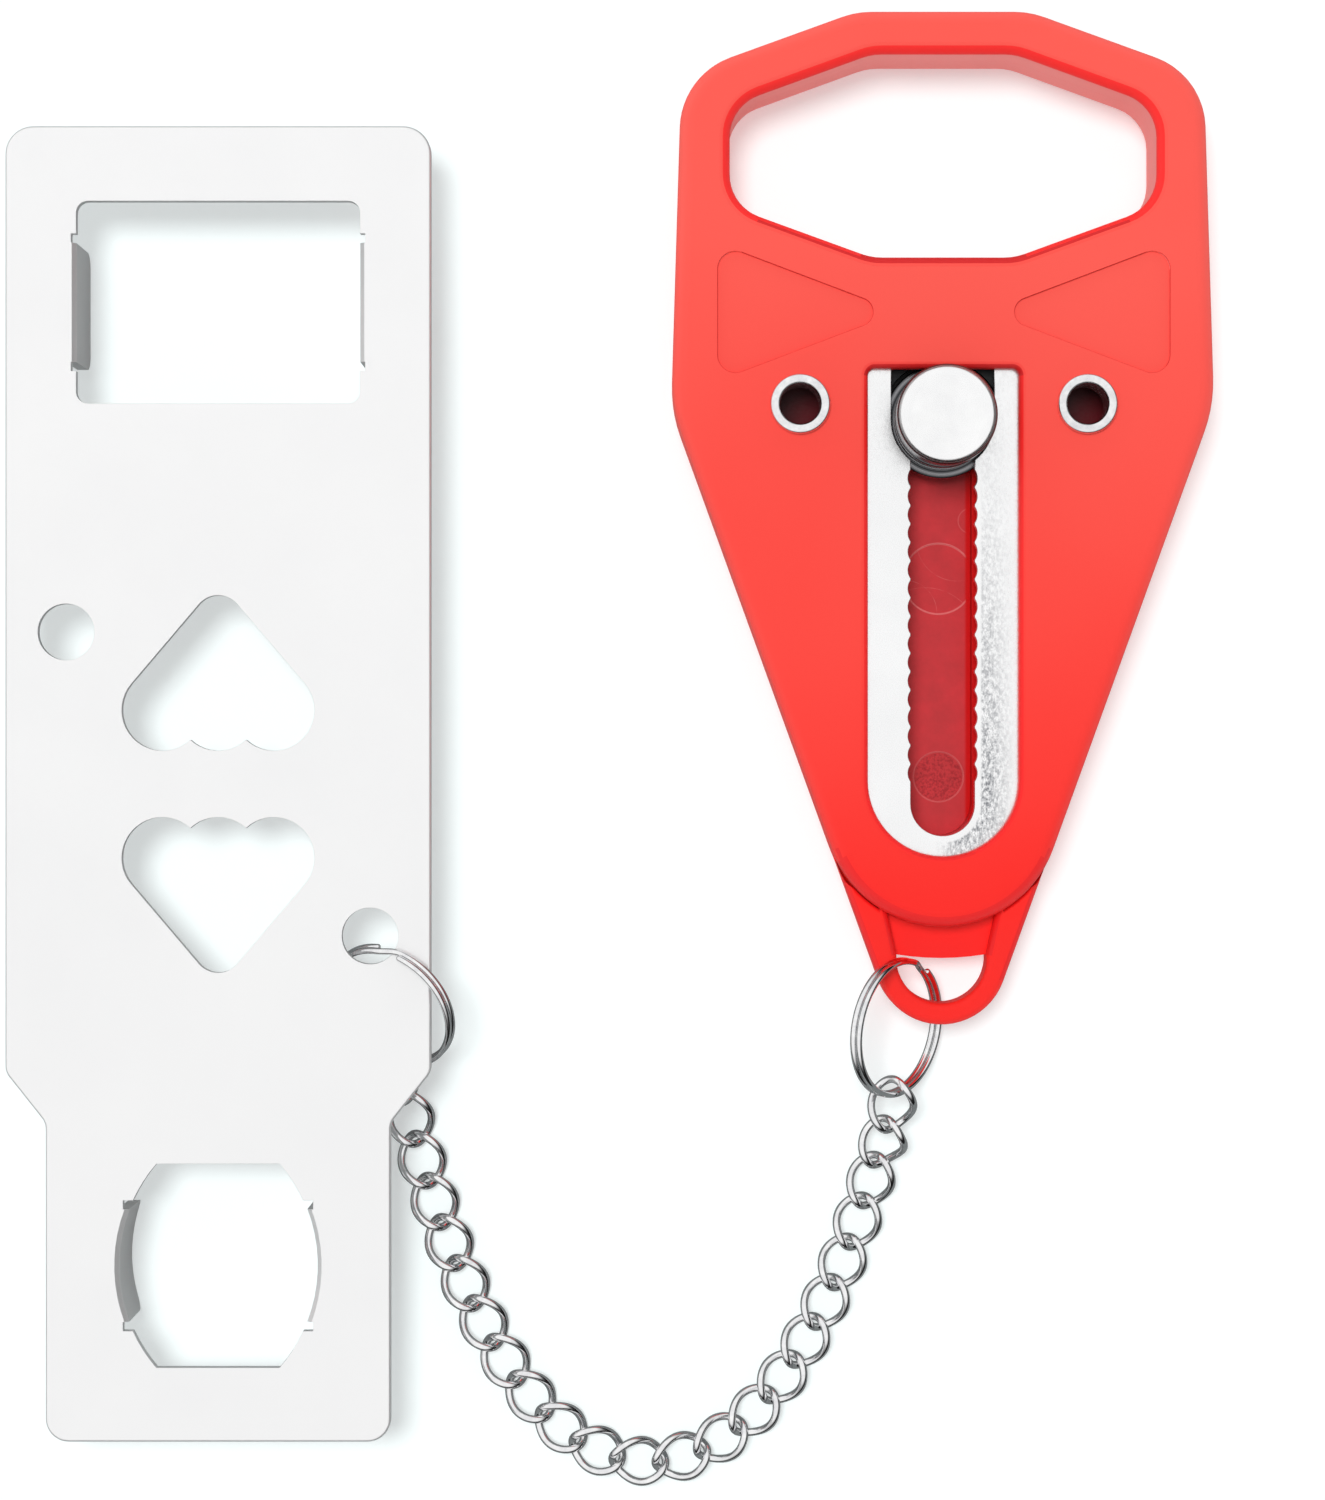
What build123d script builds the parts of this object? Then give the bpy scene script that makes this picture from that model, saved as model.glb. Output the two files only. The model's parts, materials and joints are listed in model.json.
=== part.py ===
from build123d import *
import os
from math import acos, asinh, atan2, cos, degrees, hypot, pi, radians, sin, sqrt, tan

# Portable door lock, laid out flat: a raised strike plate, a curb chain held by
# two split rings, and a handle whose stud slides in a toothed track.
# Lengths are millimetres. The floor is z = 0, and the long side runs along Y.

os.makedirs("parts", exist_ok=True)

overrun = 1.0            # how far every cutting form runs past its wall
running_gap = 0.2        # between pieces that slide on each other
seat_gap = 0.1           # round a piece that sits in a pocket or a bore
touch = 0.01             # how near two heights must be to count as one

# Strike plate
plate_x = -52.75         # middle of the plate
plate_y = -4.1
plate_thickness = 1.5
plate_length = 176.2
plate_width = 57.0
plate_neck_width = 46.2  # below the shoulders
shoulder_start = 38.6    # below the middle
shoulder_end = 45.4
plate_top_corner = 3.75
plate_foot_corner = 3.1
shoulder_round = 2.4
plate_edge_bevel = 0.4

wide_opening_width = 38.0
wide_opening_height = 27.1
wide_opening_corner = 1.6
opening_end = 23.6       # from the middle of either opening to the plate's end
barrel_mouth_width = 16.5
barrel_belly_width = 26.6
barrel_height = 27.3

claw_length = 10.0       # below the plate's underside
claw_width = 16.0
barrel_claw_width = 15.1
claw_bend_bevel = 0.6
claw_tip_round = 2.0
relief_depth = 0.7       # of the notches beside each claw
relief_width = 1.2

lobe_radius = 5.45       # the three notches that hold the stud
lobe_spacing = 7.45
lobe_offset = 9.9        # from the plate's middle line
apex_radius = 3.34
apex_offset = 21.93

hole_radius = 3.78       # the two ring holes
hole_edge = 8.15         # from a hole's middle to the plate's long edge
hole_offset = 20.35      # lengthways from the plate's middle

# Split rings, two turns of round wire
ring_diameter = 19.0     # outside
ring_wire = 0.85
ring_turn_gap = 0.1      # between the two turns
ring_sides = 6
ring_stations = 20       # in one turn
ring_jog = 18.0          # degrees over which the wire steps to its second turn
ring_jog_stations = 6
ring_end_clear = 2.0     # degrees between the jog and each end of the wire

plate_ring_dx = 2.605    # from the middle of the hole that the ring hangs in
plate_ring_dy = -9.68
plate_ring_z = 7.31
plate_ring_heading = -43.4
plate_ring_tilt = 42.0
plate_ring_ends = 110.0  # where the wire's two ends stand on the ring
plate_hook_gap = 0.8     # from the ring's wire to the wire of the end link

handle_ring_heading = 81.4
handle_ring_tilt = 50.5
handle_ring_ends = 130.0
handle_hook_gap = 0.75

# Curb chain
link_count = 22
link_wire = 1.05
link_length = 8.42       # outside
link_width = 6.8
link_pitch = 5.961
link_twist = 45.0        # each end turns this far from the link's middle
link_sides = 6
link_corner = 36.0       # degrees from a link's end to the next section of its wire
catenary_size = 15.911
chain_start = -67.049    # along the curve, from its lowest point to the end link
end_link_roll = 126.0    # the plain link that joins the chain to the plate's ring
end_link_heading = -88.398
last_link_heading = 82.0
end_link_fall = 14.708
first_link_fall = 5.378
third_last_rise = 8.624
second_last_rise = 26.803
last_link_rise = 17.41

# Handle and lock body, measured from the middle of its widest line
body_dx = 6.05           # from the handle ring's middle
loop_over_ring = 0.31    # from the handle ring's middle up to the loop's lowest edge
body_thickness = 12.0
body_waist_swell = 1.35  # the widest line reaches this far past the shoulders
body_top_flat = 11.65
body_slant = 19.9
body_top_round = 12.0
body_shoulder_round = 10.3
body_waist_round = 19.5
body_edge_bevel = 2.0
front_end_offset = 54.2

grip_offset = 33.4
grip_side_wall = 6.5     # between the hole and the outline
grip_top_wall = 5.85
grip_half_width = 28.6
grip_half_height = 13.6
grip_flat = 9.6
grip_slant = 20.0
grip_side_round = 6.0
grip_flat_round = 8.0
grip_edge_bevel = 1.4

ear_offset = 12.35
ear_margin = 6.2         # from the ear to the widest line's end
ear_tip = 6.0
ear_half_height = 9.2
ear_corner = 2.4
ear_tip_round = 1.9
ear_depth = 0.4

tail_inset = 3.2         # the tail is this much thinner on either face
tail_loop_offset = 74.4
loop_radius = 8.9        # of the tail's round end
tail_floor = 6.5         # height of the sunk floor above the loop
loop_wall = 2.85         # between the loop's hole and its round end
loop_depth = 6.5
loop_arch = 0.5
tail_edge_bevel = 1.0
tail_rim = 6.5           # width of each rim beside the sunk floor, where it meets the front shell

# Track plate, slot, window and channel
track_top = 10.2         # height of its upper face
track_thickness = 1.8
track_half_width = 12.0
track_crown = 11.5
track_corner = 3.0
track_end_offset = 51.0
track_ear_radius = 5.5
slot_gap = 0.2           # between the shank and the teeth
slot_end_offset = 53.5
scallop_radius = 1.9
scallop_depth = 0.35
scallop_pitch = 2.48
scallop_first = 9.7
scallop_count = 17
keyhole_gap = 0.3        # round the flange
keyhole_top = 7.2        # above the widest line, under the front shell
window_half_width = 10.1
window_top = 4.8
window_end_offset = 50.4
window_corner = 0.95
channel_gap = 0.5        # round the stud's foot
groove_gap = 0.4         # round the stud's pilot
groove_floor = 3.0
mark_high_radius = 4.8   # two round marks sunk in the channel's floor
mark_high = 22.9         # below the widest line
mark_low_radius = 3.4
mark_low = 49.9
mark_depth = 0.2

# Locking stud
shank_radius = 4.1
flange_radius = 6.6
flange_height = 2.0
neck_radius = 4.0
neck_gap = 0.8           # the neck is this much longer than the plate is thick
head_radius = 6.65
head_height = 3.8
head_chamfer = 0.9
foot_radius = 7.7
pilot_radius = 3.9
pilot_height = 2.4

# Hollow rivets that hold the track plate to the front shell
rivet_offset = 19.2
rivet_shank_radius = 3.4
rivet_bore_radius = 2.73
rivet_roll_radius = 4.05
rivet_roll_height = 1.0
rivet_roll_bevel = 0.45
rivet_foot_radius = 4.6
rivet_foot_height = 0.8
rivet_well_gap = 0.4     # round the rivet's foot in the rear shell


def level_edges(edges, height):
    """The edges that lie flat at one height."""
    return [e for e in edges if abs(e.bounding_box().min.Z - height) < touch
            and abs(e.bounding_box().max.Z - height) < touch]


def within(edges, x, y, half_wide, half_high):
    """The edges whose middles lie in a rectangle about x, y."""
    return [e for e in edges if abs(e.center().X - x) < half_wide and abs(e.center().Y - y) < half_high]


# Strike plate: its outline, the two hearts and the barrel opening are drawn flat first
half_length = plate_length / 2
half_width = plate_width / 2
opening_offset = half_length - opening_end
hole_side = half_width - hole_edge
half_neck = plate_neck_width / 2
half_wide_opening = wide_opening_width / 2
half_barrel = barrel_height / 2
half_belly = barrel_belly_width / 2
half_mouth = barrel_mouth_width / 2
belly = half_belly - half_mouth
belly_radius = (half_barrel**2 + belly**2) / (2 * belly)
belly_centre = half_belly - belly_radius
plate_top = claw_length + plate_thickness

with BuildSketch() as plate_outline:
    with BuildLine():
        Polyline(
            (half_width, half_length),
            (half_width, -shoulder_start),
            (half_neck, -shoulder_end),
            (half_neck, -half_length),
            (-half_neck, -half_length),
            (-half_neck, -shoulder_end),
            (-half_width, -shoulder_start),
            (-half_width, half_length),
            close=True,
        )
    make_face()
    corners = plate_outline.vertices().group_by(Axis.Y)
    fillet(corners[1] + corners[2], shoulder_round)
    fillet(plate_outline.vertices().group_by(Axis.Y)[-1], plate_top_corner)
    fillet(plate_outline.vertices().group_by(Axis.Y)[0], plate_foot_corner)

# straight sides of a heart touch its apex circle and its outer lobes
heart_rise = apex_offset - lobe_offset
heart_lean = acos((apex_radius - lobe_radius) / hypot(lobe_spacing, heart_rise))
heart_normal = atan2(-heart_rise, lobe_spacing) + heart_lean
touch_x = cos(heart_normal)
touch_y = sin(heart_normal)

with BuildSketch() as heart:
    with Locations((-lobe_spacing, lobe_offset), (0, lobe_offset), (lobe_spacing, lobe_offset)):
        Circle(lobe_radius)
    with Locations((0, apex_offset)):
        Circle(apex_radius)
    with BuildLine():
        Polyline(
            (-lobe_spacing, lobe_offset),
            (-lobe_spacing - lobe_radius * touch_x, lobe_offset + lobe_radius * touch_y),
            (-apex_radius * touch_x, apex_offset + apex_radius * touch_y),
            (apex_radius * touch_x, apex_offset + apex_radius * touch_y),
            (lobe_spacing + lobe_radius * touch_x, lobe_offset + lobe_radius * touch_y),
            (lobe_spacing, lobe_offset),
            close=True,
        )
    make_face()

with BuildSketch() as barrel:
    with BuildLine():
        ThreePointArc((half_mouth, half_barrel), (half_belly, 0), (half_mouth, -half_barrel))
        ThreePointArc((-half_mouth, half_barrel), (-half_belly, 0), (-half_mouth, -half_barrel))
        Line((half_mouth, half_barrel), (-half_mouth, half_barrel))
        Line((half_mouth, -half_barrel), (-half_mouth, -half_barrel))
    make_face()

# one curved claw of the barrel opening, the right one, seen from above
with BuildSketch() as barrel_claw:
    with Locations((belly_centre, 0)):
        Circle(belly_radius + plate_thickness)
        Circle(belly_radius, mode=Mode.SUBTRACT)
    with Locations((half_belly, 0)):
        Rectangle(2 * (plate_thickness + belly), barrel_claw_width, mode=Mode.INTERSECT)

with BuildPart() as strike_plate:
    with BuildSketch(Plane((plate_x, plate_y, claw_length))):
        add(plate_outline.sketch)
        with Locations((0, opening_offset)):
            RectangleRounded(
                wide_opening_width, wide_opening_height, wide_opening_corner, mode=Mode.SUBTRACT
            )
        with Locations((0, -opening_offset)):
            add(barrel.sketch, mode=Mode.SUBTRACT)
        for side in (-1, 1):
            for end in (-1, 1):
                with Locations((side * half_wide_opening,
                                opening_offset + end * (claw_width + relief_width) / 2)):
                    Rectangle(2 * relief_depth, relief_width, mode=Mode.SUBTRACT)
                with Locations((side * (half_belly - belly / 4),
                                end * (barrel_claw_width + relief_width) / 2 - opening_offset)):
                    Rectangle(2 * relief_depth, relief_width, mode=Mode.SUBTRACT)
        add(heart.sketch, mode=Mode.SUBTRACT)
        add(heart.sketch, rotation=180, mode=Mode.SUBTRACT)
        with Locations((-hole_side, hole_offset), (hole_side, -hole_offset)):
            Circle(hole_radius, mode=Mode.SUBTRACT)
    extrude(amount=plate_thickness)
    # claws, folded down from the plate
    with BuildSketch(Plane((plate_x, plate_y + opening_offset))):
        for side in (-1, 1):
            with Locations((side * (half_wide_opening + plate_thickness / 2), 0)):
                Rectangle(plate_thickness, claw_width)
    extrude(amount=claw_length)
    with BuildSketch(Plane((plate_x, plate_y - opening_offset))):
        add(barrel_claw.sketch)
        add(barrel_claw.sketch, rotation=180)
    extrude(amount=claw_length)
    # the bend takes off each claw's upper inner edge, and the tips are rounded
    top_edges = level_edges(strike_plate.edges(), plate_top)
    bends = [
        e for e in top_edges
        if abs(abs(e.center().X - plate_x) - half_wide_opening) < touch
        and abs(e.center().Y - plate_y - opening_offset) < claw_width / 4
        or abs(abs(e.center().X - plate_x) - half_belly) < touch
        and abs(e.center().Y - plate_y + opening_offset) < barrel_claw_width / 4
    ]
    chamfer(bends, claw_bend_bevel)
    tips = [
        e for e in level_edges(strike_plate.edges(), 0)
        if abs(abs(e.center().Y - plate_y - opening_offset) - claw_width / 2) < touch
        or abs(abs(e.center().Y - plate_y + opening_offset) - barrel_claw_width / 2) < touch
    ]
    fillet(tips, claw_tip_round)
    rim = [
        e for e in level_edges(strike_plate.edges(), plate_top)
        if (abs(e.center().X - plate_x) > half_wide_opening + wide_opening_corner
            or abs(abs(e.center().Y - plate_y) - half_length) < touch) and not e.is_closed
    ]
    chamfer(rim, plate_edge_bevel)
strike_plate.part.label = "strike_plate"
export_step(strike_plate.part, "parts/strike_plate.step")

# Split rings. Each is one wire that turns twice and steps once from turn to turn.
ring_radius = (ring_diameter - ring_wire) / 2
turn_offset = (ring_wire + ring_turn_gap) / 2
lap = 360 / ring_stations
wire_end = ring_jog / 2 + ring_end_clear
first_turn = [wire_end + lap * i for i in range(int((360 - ring_jog / 2 - wire_end) / lap) + 1)]
jog_turn = [360 + ring_jog * (i / ring_jog_stations - 1 / 2) for i in range(ring_jog_stations + 1)]
second_turn = [720 - angle for angle in reversed(first_turn)]


def ring_point(angle):
    """The wire's middle line, for an angle that runs through both turns."""
    step = min(max((angle - 360) / ring_jog + 1 / 2, 0), 1)
    return Vector(ring_radius * cos(radians(angle)), ring_radius * sin(radians(angle)),
                  -turn_offset * cos(pi * step))


def ring_plane(middle, heading, tilt):
    """Plane of a ring: its level diameter points along heading, its left side is raised by tilt."""
    along = Vector(cos(radians(heading)), sin(radians(heading)), 0)
    across = Vector(-sin(radians(heading)), cos(radians(heading)), 0) * cos(radians(tilt))
    across += Vector(0, 0, sin(radians(tilt)))
    return Plane(origin=middle, x_dir=along, z_dir=along.cross(across))


with BuildPart() as ring_form:
    for angle in first_turn + jog_turn + second_turn:
        spot = ring_point(angle)
        forward = Vector(-sin(radians(angle)), cos(radians(angle)), 0)
        with BuildSketch(Plane(origin=spot, x_dir=(spot.X, spot.Y, 0), z_dir=forward)):
            RegularPolygon(radius=ring_wire / 2, side_count=ring_sides)
    loft(ruled=True)

# Chain. It leaves the plate's ring, lies along a catenary on the floor and climbs
# to the handle's ring. Link 0 is the plain end link, the others are curb links.
link_reach = (link_length - link_wire) / 2
link_spread = (link_width - link_wire) / 2
falls = {0: -end_link_fall, 1: -first_link_fall, link_count - 2: third_last_rise,
         link_count - 1: second_last_rise, link_count: last_link_rise}


def link_direction(number):
    """Unit vector along one link, from the plate's end of the chain to the handle's."""
    heading = atan2(chain_start + number * link_pitch, catenary_size)
    if number == 0:
        heading = radians(end_link_heading)
    if number == link_count:
        heading = radians(last_link_heading)
    rise = radians(falls.get(number, 0))
    return Vector(cos(rise) * cos(heading), cos(rise) * sin(heading), sin(rise))


def pull(plane, direction):
    """Unit vector from a ring's middle to where a link pulls on it."""
    flat = direction - plane.z_dir * direction.dot(plane.z_dir)
    return flat.normalized()


plate_ring_plane = ring_plane(
    (plate_x + hole_side + plate_ring_dx, plate_y - hole_offset + plate_ring_dy, plate_ring_z),
    plate_ring_heading, plate_ring_tilt,
)
hook = ring_radius - (ring_wire + link_wire) / 2
start = plate_ring_plane.origin + pull(plate_ring_plane, link_direction(0)) * (hook - plate_hook_gap)
middles = [start + link_direction(0) * link_reach]
for number in range(1, link_count + 1):
    middles.append(middles[-1] + (link_direction(number - 1) + link_direction(number)) * (link_pitch / 2))
finish = middles[-1] + link_direction(link_count) * link_reach
handle_ring_plane = ring_plane((0, 0, 0), handle_ring_heading, handle_ring_tilt)
handle_ring_plane = ring_plane(
    finish + pull(handle_ring_plane, link_direction(link_count)) * (hook - handle_hook_gap),
    handle_ring_heading, handle_ring_tilt,
)


def link_plane(number, roll):
    """Plane of a link: X along it, Y across it and level before the roll."""
    direction = link_direction(number)
    across = Vector(0, 0, 1).cross(direction).normalized()
    upward = direction.cross(across)
    return Plane(origin=middles[number], x_dir=direction,
                 z_dir=upward * cos(radians(roll)) - across * sin(radians(roll)))


def link_point(turn, twist):
    """Middle line of a link: an oval, twisted one way at one end and back at the other."""
    lean = radians(twist) * cos(turn)
    return Vector(link_reach * cos(turn), link_spread * sin(turn) * cos(lean),
                  -link_spread * sin(turn) * sin(lean))


def link_station(turn, twist):
    """Plane square to the middle line of a link, with X pointing out of the link."""
    nearby = pi / 1000
    forward = (link_point(turn + nearby, twist) - link_point(turn - nearby, twist)).normalized()
    outward = link_point(turn, twist)
    outward = (outward - forward * outward.dot(forward)).normalized()
    return Plane(origin=link_point(turn, twist), x_dir=outward, z_dir=forward)


link_sections = [radians(turn) for turn in (0, link_corner, 90, 180 - link_corner, 180)]

with BuildPart() as plain_half:
    for turn in link_sections:
        with BuildSketch(link_station(turn, 0)):
            RegularPolygon(radius=link_wire / 2, side_count=link_sides)
    loft(ruled=True)

with BuildPart() as plain_link:
    add(plain_half.part)
    add(plain_half.part.rotate(Axis.Z, 180))

with BuildPart() as curb_half:
    for turn in link_sections:
        with BuildSketch(link_station(turn, link_twist)):
            RegularPolygon(radius=link_wire / 2, side_count=link_sides)
    loft(ruled=True)

with BuildPart() as curb_link:
    add(curb_half.part)
    add(curb_half.part.rotate(Axis.X, 180))

with BuildPart() as plate_split_ring:
    add(ring_form.part.rotate(Axis.Z, plate_ring_ends).moved(plate_ring_plane.location))
plate_split_ring.part.label = "plate_split_ring"
export_step(plate_split_ring.part, "parts/plate_split_ring.step")

with BuildPart() as handle_split_ring:
    add(ring_form.part.rotate(Axis.Z, handle_ring_ends).moved(handle_ring_plane.location))
handle_split_ring.part.label = "handle_split_ring"
export_step(handle_split_ring.part, "parts/handle_split_ring.step")

with BuildPart() as chain_end_link:
    add(plain_link.part.moved(link_plane(0, end_link_roll).location))
chain_end_link.part.label = "chain_end_link"
export_step(chain_end_link.part, "parts/chain_end_link.step")

for number in range(1, link_count + 1):
    with BuildPart() as chain_link:
        add(curb_link.part.moved(link_plane(number, 0).location))
    chain_link.part.label = f"chain_link_{number:02d}"
    export_step(chain_link.part, f"parts/chain_link_{number:02d}.step")

# Lock body. Both shells share one outline, drawn flat about the widest line.
body_x = handle_ring_plane.origin.X + body_dx
body_y = handle_ring_plane.origin.Y + loop_over_ring + loop_radius + tail_loop_offset
split = body_thickness / 2
body_shoulder_half = grip_half_width + grip_side_wall
body_half_width = body_shoulder_half + body_waist_swell
body_top = grip_offset + grip_half_height + grip_top_wall
ear_outer = body_half_width - ear_margin
# the tapered sides run from the widest line and touch the tail's round end
taper = acos(loop_radius / hypot(body_half_width, tail_loop_offset))
taper -= atan2(tail_loop_offset, body_half_width)
front_end_half = body_half_width - front_end_offset * tan(taper)
tail_recess_half = front_end_half - tail_rim
loop_half_width = loop_radius - loop_wall
shoulder_y = body_top - (body_shoulder_half - body_top_flat) * tan(radians(body_slant))
front_end_radius = front_end_half * cos(taper)
grip_side = grip_half_height - (grip_half_width - grip_flat) * tan(radians(grip_slant))

with BuildSketch() as shell_outline:
    with BuildLine():
        Polyline(
            (-front_end_radius * cos(taper), -front_end_offset - front_end_radius * sin(taper)),
            (-body_half_width, 0),
            (-body_shoulder_half, shoulder_y),
            (-body_top_flat, body_top),
            (body_top_flat, body_top),
            (body_shoulder_half, shoulder_y),
            (body_half_width, 0),
            (front_end_radius * cos(taper), -front_end_offset - front_end_radius * sin(taper)),
        )
        ThreePointArc(
            (front_end_radius * cos(taper), -front_end_offset - front_end_radius * sin(taper)),
            (0, -front_end_offset - front_end_radius),
            (-front_end_radius * cos(taper), -front_end_offset - front_end_radius * sin(taper)),
        )
    make_face()
    fillet(shell_outline.vertices().group_by(Axis.Y)[-1], body_top_round)
    widest = [v for v in shell_outline.vertices() if abs(v.Y) < touch]
    fillet(widest, body_waist_round)
    shoulder = [v for v in shell_outline.vertices() if abs(v.Y - shoulder_y) < touch]
    fillet(shoulder, body_shoulder_round)

with BuildSketch() as grip_hole:
    with BuildLine():
        Polyline(
            (grip_flat, grip_offset + grip_half_height),
            (grip_half_width, grip_offset + grip_side),
            (grip_half_width, grip_offset - grip_side),
            (grip_flat, grip_offset - grip_half_height),
            (-grip_flat, grip_offset - grip_half_height),
            (-grip_half_width, grip_offset - grip_side),
            (-grip_half_width, grip_offset + grip_side),
            (-grip_flat, grip_offset + grip_half_height),
            close=True,
        )
    make_face()
    flats = [v for v in grip_hole.vertices() if abs(abs(v.X) - grip_flat) < touch]
    fillet(flats, grip_flat_round)
    sides = [v for v in grip_hole.vertices() if abs(abs(v.X) - grip_half_width) < touch]
    fillet(sides, grip_side_round)

with BuildSketch() as right_ear:
    with BuildLine():
        Polyline(
            (ear_tip, ear_offset),
            (ear_outer, ear_offset + ear_half_height),
            (ear_outer, ear_offset - ear_half_height),
            close=True,
        )
    make_face()
    fillet(right_ear.vertices().group_by(Axis.X)[-1], ear_corner)
    fillet(right_ear.vertices().group_by(Axis.X)[0], ear_tip_round)

with BuildSketch() as window:
    with Locations((0, (window_top - window_end_offset) / 2)):
        Rectangle(2 * window_half_width, window_top + window_end_offset)
    fillet(window.vertices().group_by(Axis.Y)[-1], window_corner)
    with Locations((0, -window_end_offset)):
        Circle(window_half_width)

with BuildSketch() as track_outline:
    with Locations((0, (track_crown - track_end_offset) / 2)):
        Rectangle(2 * track_half_width, track_crown + track_end_offset)
    fillet(track_outline.vertices().group_by(Axis.Y)[-1], track_corner)
    with Locations((0, -track_end_offset)):
        Circle(track_half_width)
    Rectangle(2 * rivet_offset, 2 * track_ear_radius)
    with Locations((-rivet_offset, 0), (rivet_offset, 0)):
        Circle(track_ear_radius)

with BuildSketch() as pocket:
    add(track_outline.sketch)
    offset(amount=seat_gap)

# the stud parks with its flange against the window's upper edge
stud_offset = window_top - flange_radius - seat_gap
track_foot = track_top - track_thickness
channel_radius = foot_radius + channel_gap
groove_radius = pilot_radius + groove_gap
slot_half_width = shank_radius + slot_gap
keyhole_radius = flange_radius + keyhole_gap
slot_run = slot_end_offset + stud_offset

with BuildSketch() as channel:
    with Locations((0, (stud_offset - slot_end_offset) / 2)):
        Rectangle(2 * channel_radius, slot_run)
    with Locations((0, stud_offset), (0, -slot_end_offset)):
        Circle(channel_radius)

with BuildSketch() as groove:
    with Locations((0, (stud_offset - slot_end_offset) / 2)):
        Rectangle(2 * groove_radius, slot_run)
    with Locations((0, stud_offset), (0, -slot_end_offset)):
        Circle(groove_radius)

with BuildSketch() as slot:
    with Locations((0, -slot_end_offset / 2)):
        Rectangle(2 * slot_half_width, slot_end_offset)
    with Locations((0, -slot_end_offset)):
        Circle(slot_half_width)
    with Locations((0, stud_offset)):
        Circle(keyhole_radius)
    with Locations((0, (stud_offset + keyhole_top) / 2)):
        Rectangle(2 * keyhole_radius, keyhole_top - stud_offset)
    tooth_x = slot_half_width + scallop_depth - scallop_radius
    for i in range(scallop_count):
        with Locations((-tooth_x, -scallop_first - scallop_pitch * i),
                       (tooth_x, -scallop_first - scallop_pitch * i)):
            Circle(scallop_radius)

with BuildPart() as track_plate:
    with BuildSketch(Plane((body_x, body_y, track_foot))):
        add(track_outline.sketch)
        add(slot.sketch, mode=Mode.SUBTRACT)
        with Locations((-rivet_offset, 0), (rivet_offset, 0)):
            Circle(rivet_shank_radius + seat_gap, mode=Mode.SUBTRACT)
    extrude(amount=track_thickness)
track_plate.part.label = "track_plate"
export_step(track_plate.part, "parts/track_plate.step")

with BuildPart() as front_housing:
    with BuildSketch(Plane((body_x, body_y, split))):
        add(shell_outline.sketch)
        add(grip_hole.sketch, mode=Mode.SUBTRACT)
    extrude(amount=body_thickness - split)
    top_edges = level_edges(front_housing.edges(), body_thickness)
    grip_edges = within(top_edges, body_x, body_y + grip_offset, grip_half_width + overrun,
                        grip_half_height + overrun)
    chamfer(grip_edges, grip_edge_bevel)
    chamfer([e for e in top_edges if e not in grip_edges], body_edge_bevel)
    with BuildSketch(Plane((body_x, body_y, split))):
        add(pocket.sketch)
    extrude(amount=track_top - split, mode=Mode.SUBTRACT)
    with BuildSketch(Plane((body_x, body_y, track_top))):
        add(window.sketch)
    extrude(amount=body_thickness - track_top, mode=Mode.SUBTRACT)
    with BuildSketch(Plane((body_x, body_y, split))):
        with Locations((-rivet_offset, 0), (rivet_offset, 0)):
            Circle(rivet_shank_radius + seat_gap)
    extrude(amount=body_thickness - split, mode=Mode.SUBTRACT)
    with BuildSketch(Plane((body_x, body_y, body_thickness - ear_depth))):
        add(right_ear.sketch)
        mirror(right_ear.sketch, about=Plane.YZ)
    extrude(amount=ear_depth, mode=Mode.SUBTRACT)
front_housing.part.label = "front_housing"
export_step(front_housing.part, "parts/front_housing.step")

# The tail is part of the rear shell: rims that carry on the taper, a sunk floor and a loop
with BuildSketch() as tail_outline:
    with BuildLine():
        Polyline(
            (-front_end_half, -front_end_offset),
            (-loop_radius * cos(taper), -tail_loop_offset - loop_radius * sin(taper)),
        )
        ThreePointArc(
            (-loop_radius * cos(taper), -tail_loop_offset - loop_radius * sin(taper)),
            (0, -tail_loop_offset - loop_radius),
            (loop_radius * cos(taper), -tail_loop_offset - loop_radius * sin(taper)),
        )
        Polyline(
            (loop_radius * cos(taper), -tail_loop_offset - loop_radius * sin(taper)),
            (front_end_half, -front_end_offset),
            (-front_end_half, -front_end_offset),
        )
    make_face()

loop_top = -tail_loop_offset + loop_arch
with BuildSketch() as loop_hole:
    with BuildLine():
        ThreePointArc((-loop_half_width, loop_top), (0, loop_top - loop_depth), (loop_half_width, loop_top))
        ThreePointArc((loop_half_width, loop_top), (0, loop_top - loop_arch), (-loop_half_width, loop_top))
    make_face()

with BuildPart() as tail_form:
    with BuildSketch(Plane((body_x, body_y, tail_inset))):
        add(tail_outline.sketch)
        add(loop_hole.sketch, mode=Mode.SUBTRACT)
    extrude(amount=body_thickness - 2 * tail_inset)
    # sunk floor between the rims
    with BuildSketch(Plane((body_x, body_y, tail_floor))):
        with BuildLine():
            Polyline(
                (-loop_half_width, loop_top),
                (-tail_recess_half, -front_end_offset),
                (tail_recess_half, -front_end_offset),
                (loop_half_width, loop_top),
            )
            ThreePointArc((loop_half_width, loop_top), (0, loop_top - loop_arch), (-loop_half_width, loop_top))
        make_face()
    extrude(amount=body_thickness, mode=Mode.SUBTRACT)
    tail_edges = level_edges(tail_form.edges(), body_thickness - tail_inset)
    tail_edges += level_edges(tail_form.edges(), tail_inset)
    chamfer([e for e in tail_edges if e.center().Y < body_y - front_end_offset - touch], tail_edge_bevel)
    # room for the rounded end of the front shell
    with BuildSketch(Plane((body_x, body_y, split))):
        add(shell_outline.sketch)
        offset(amount=seat_gap)
    extrude(amount=body_thickness, mode=Mode.SUBTRACT)

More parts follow.
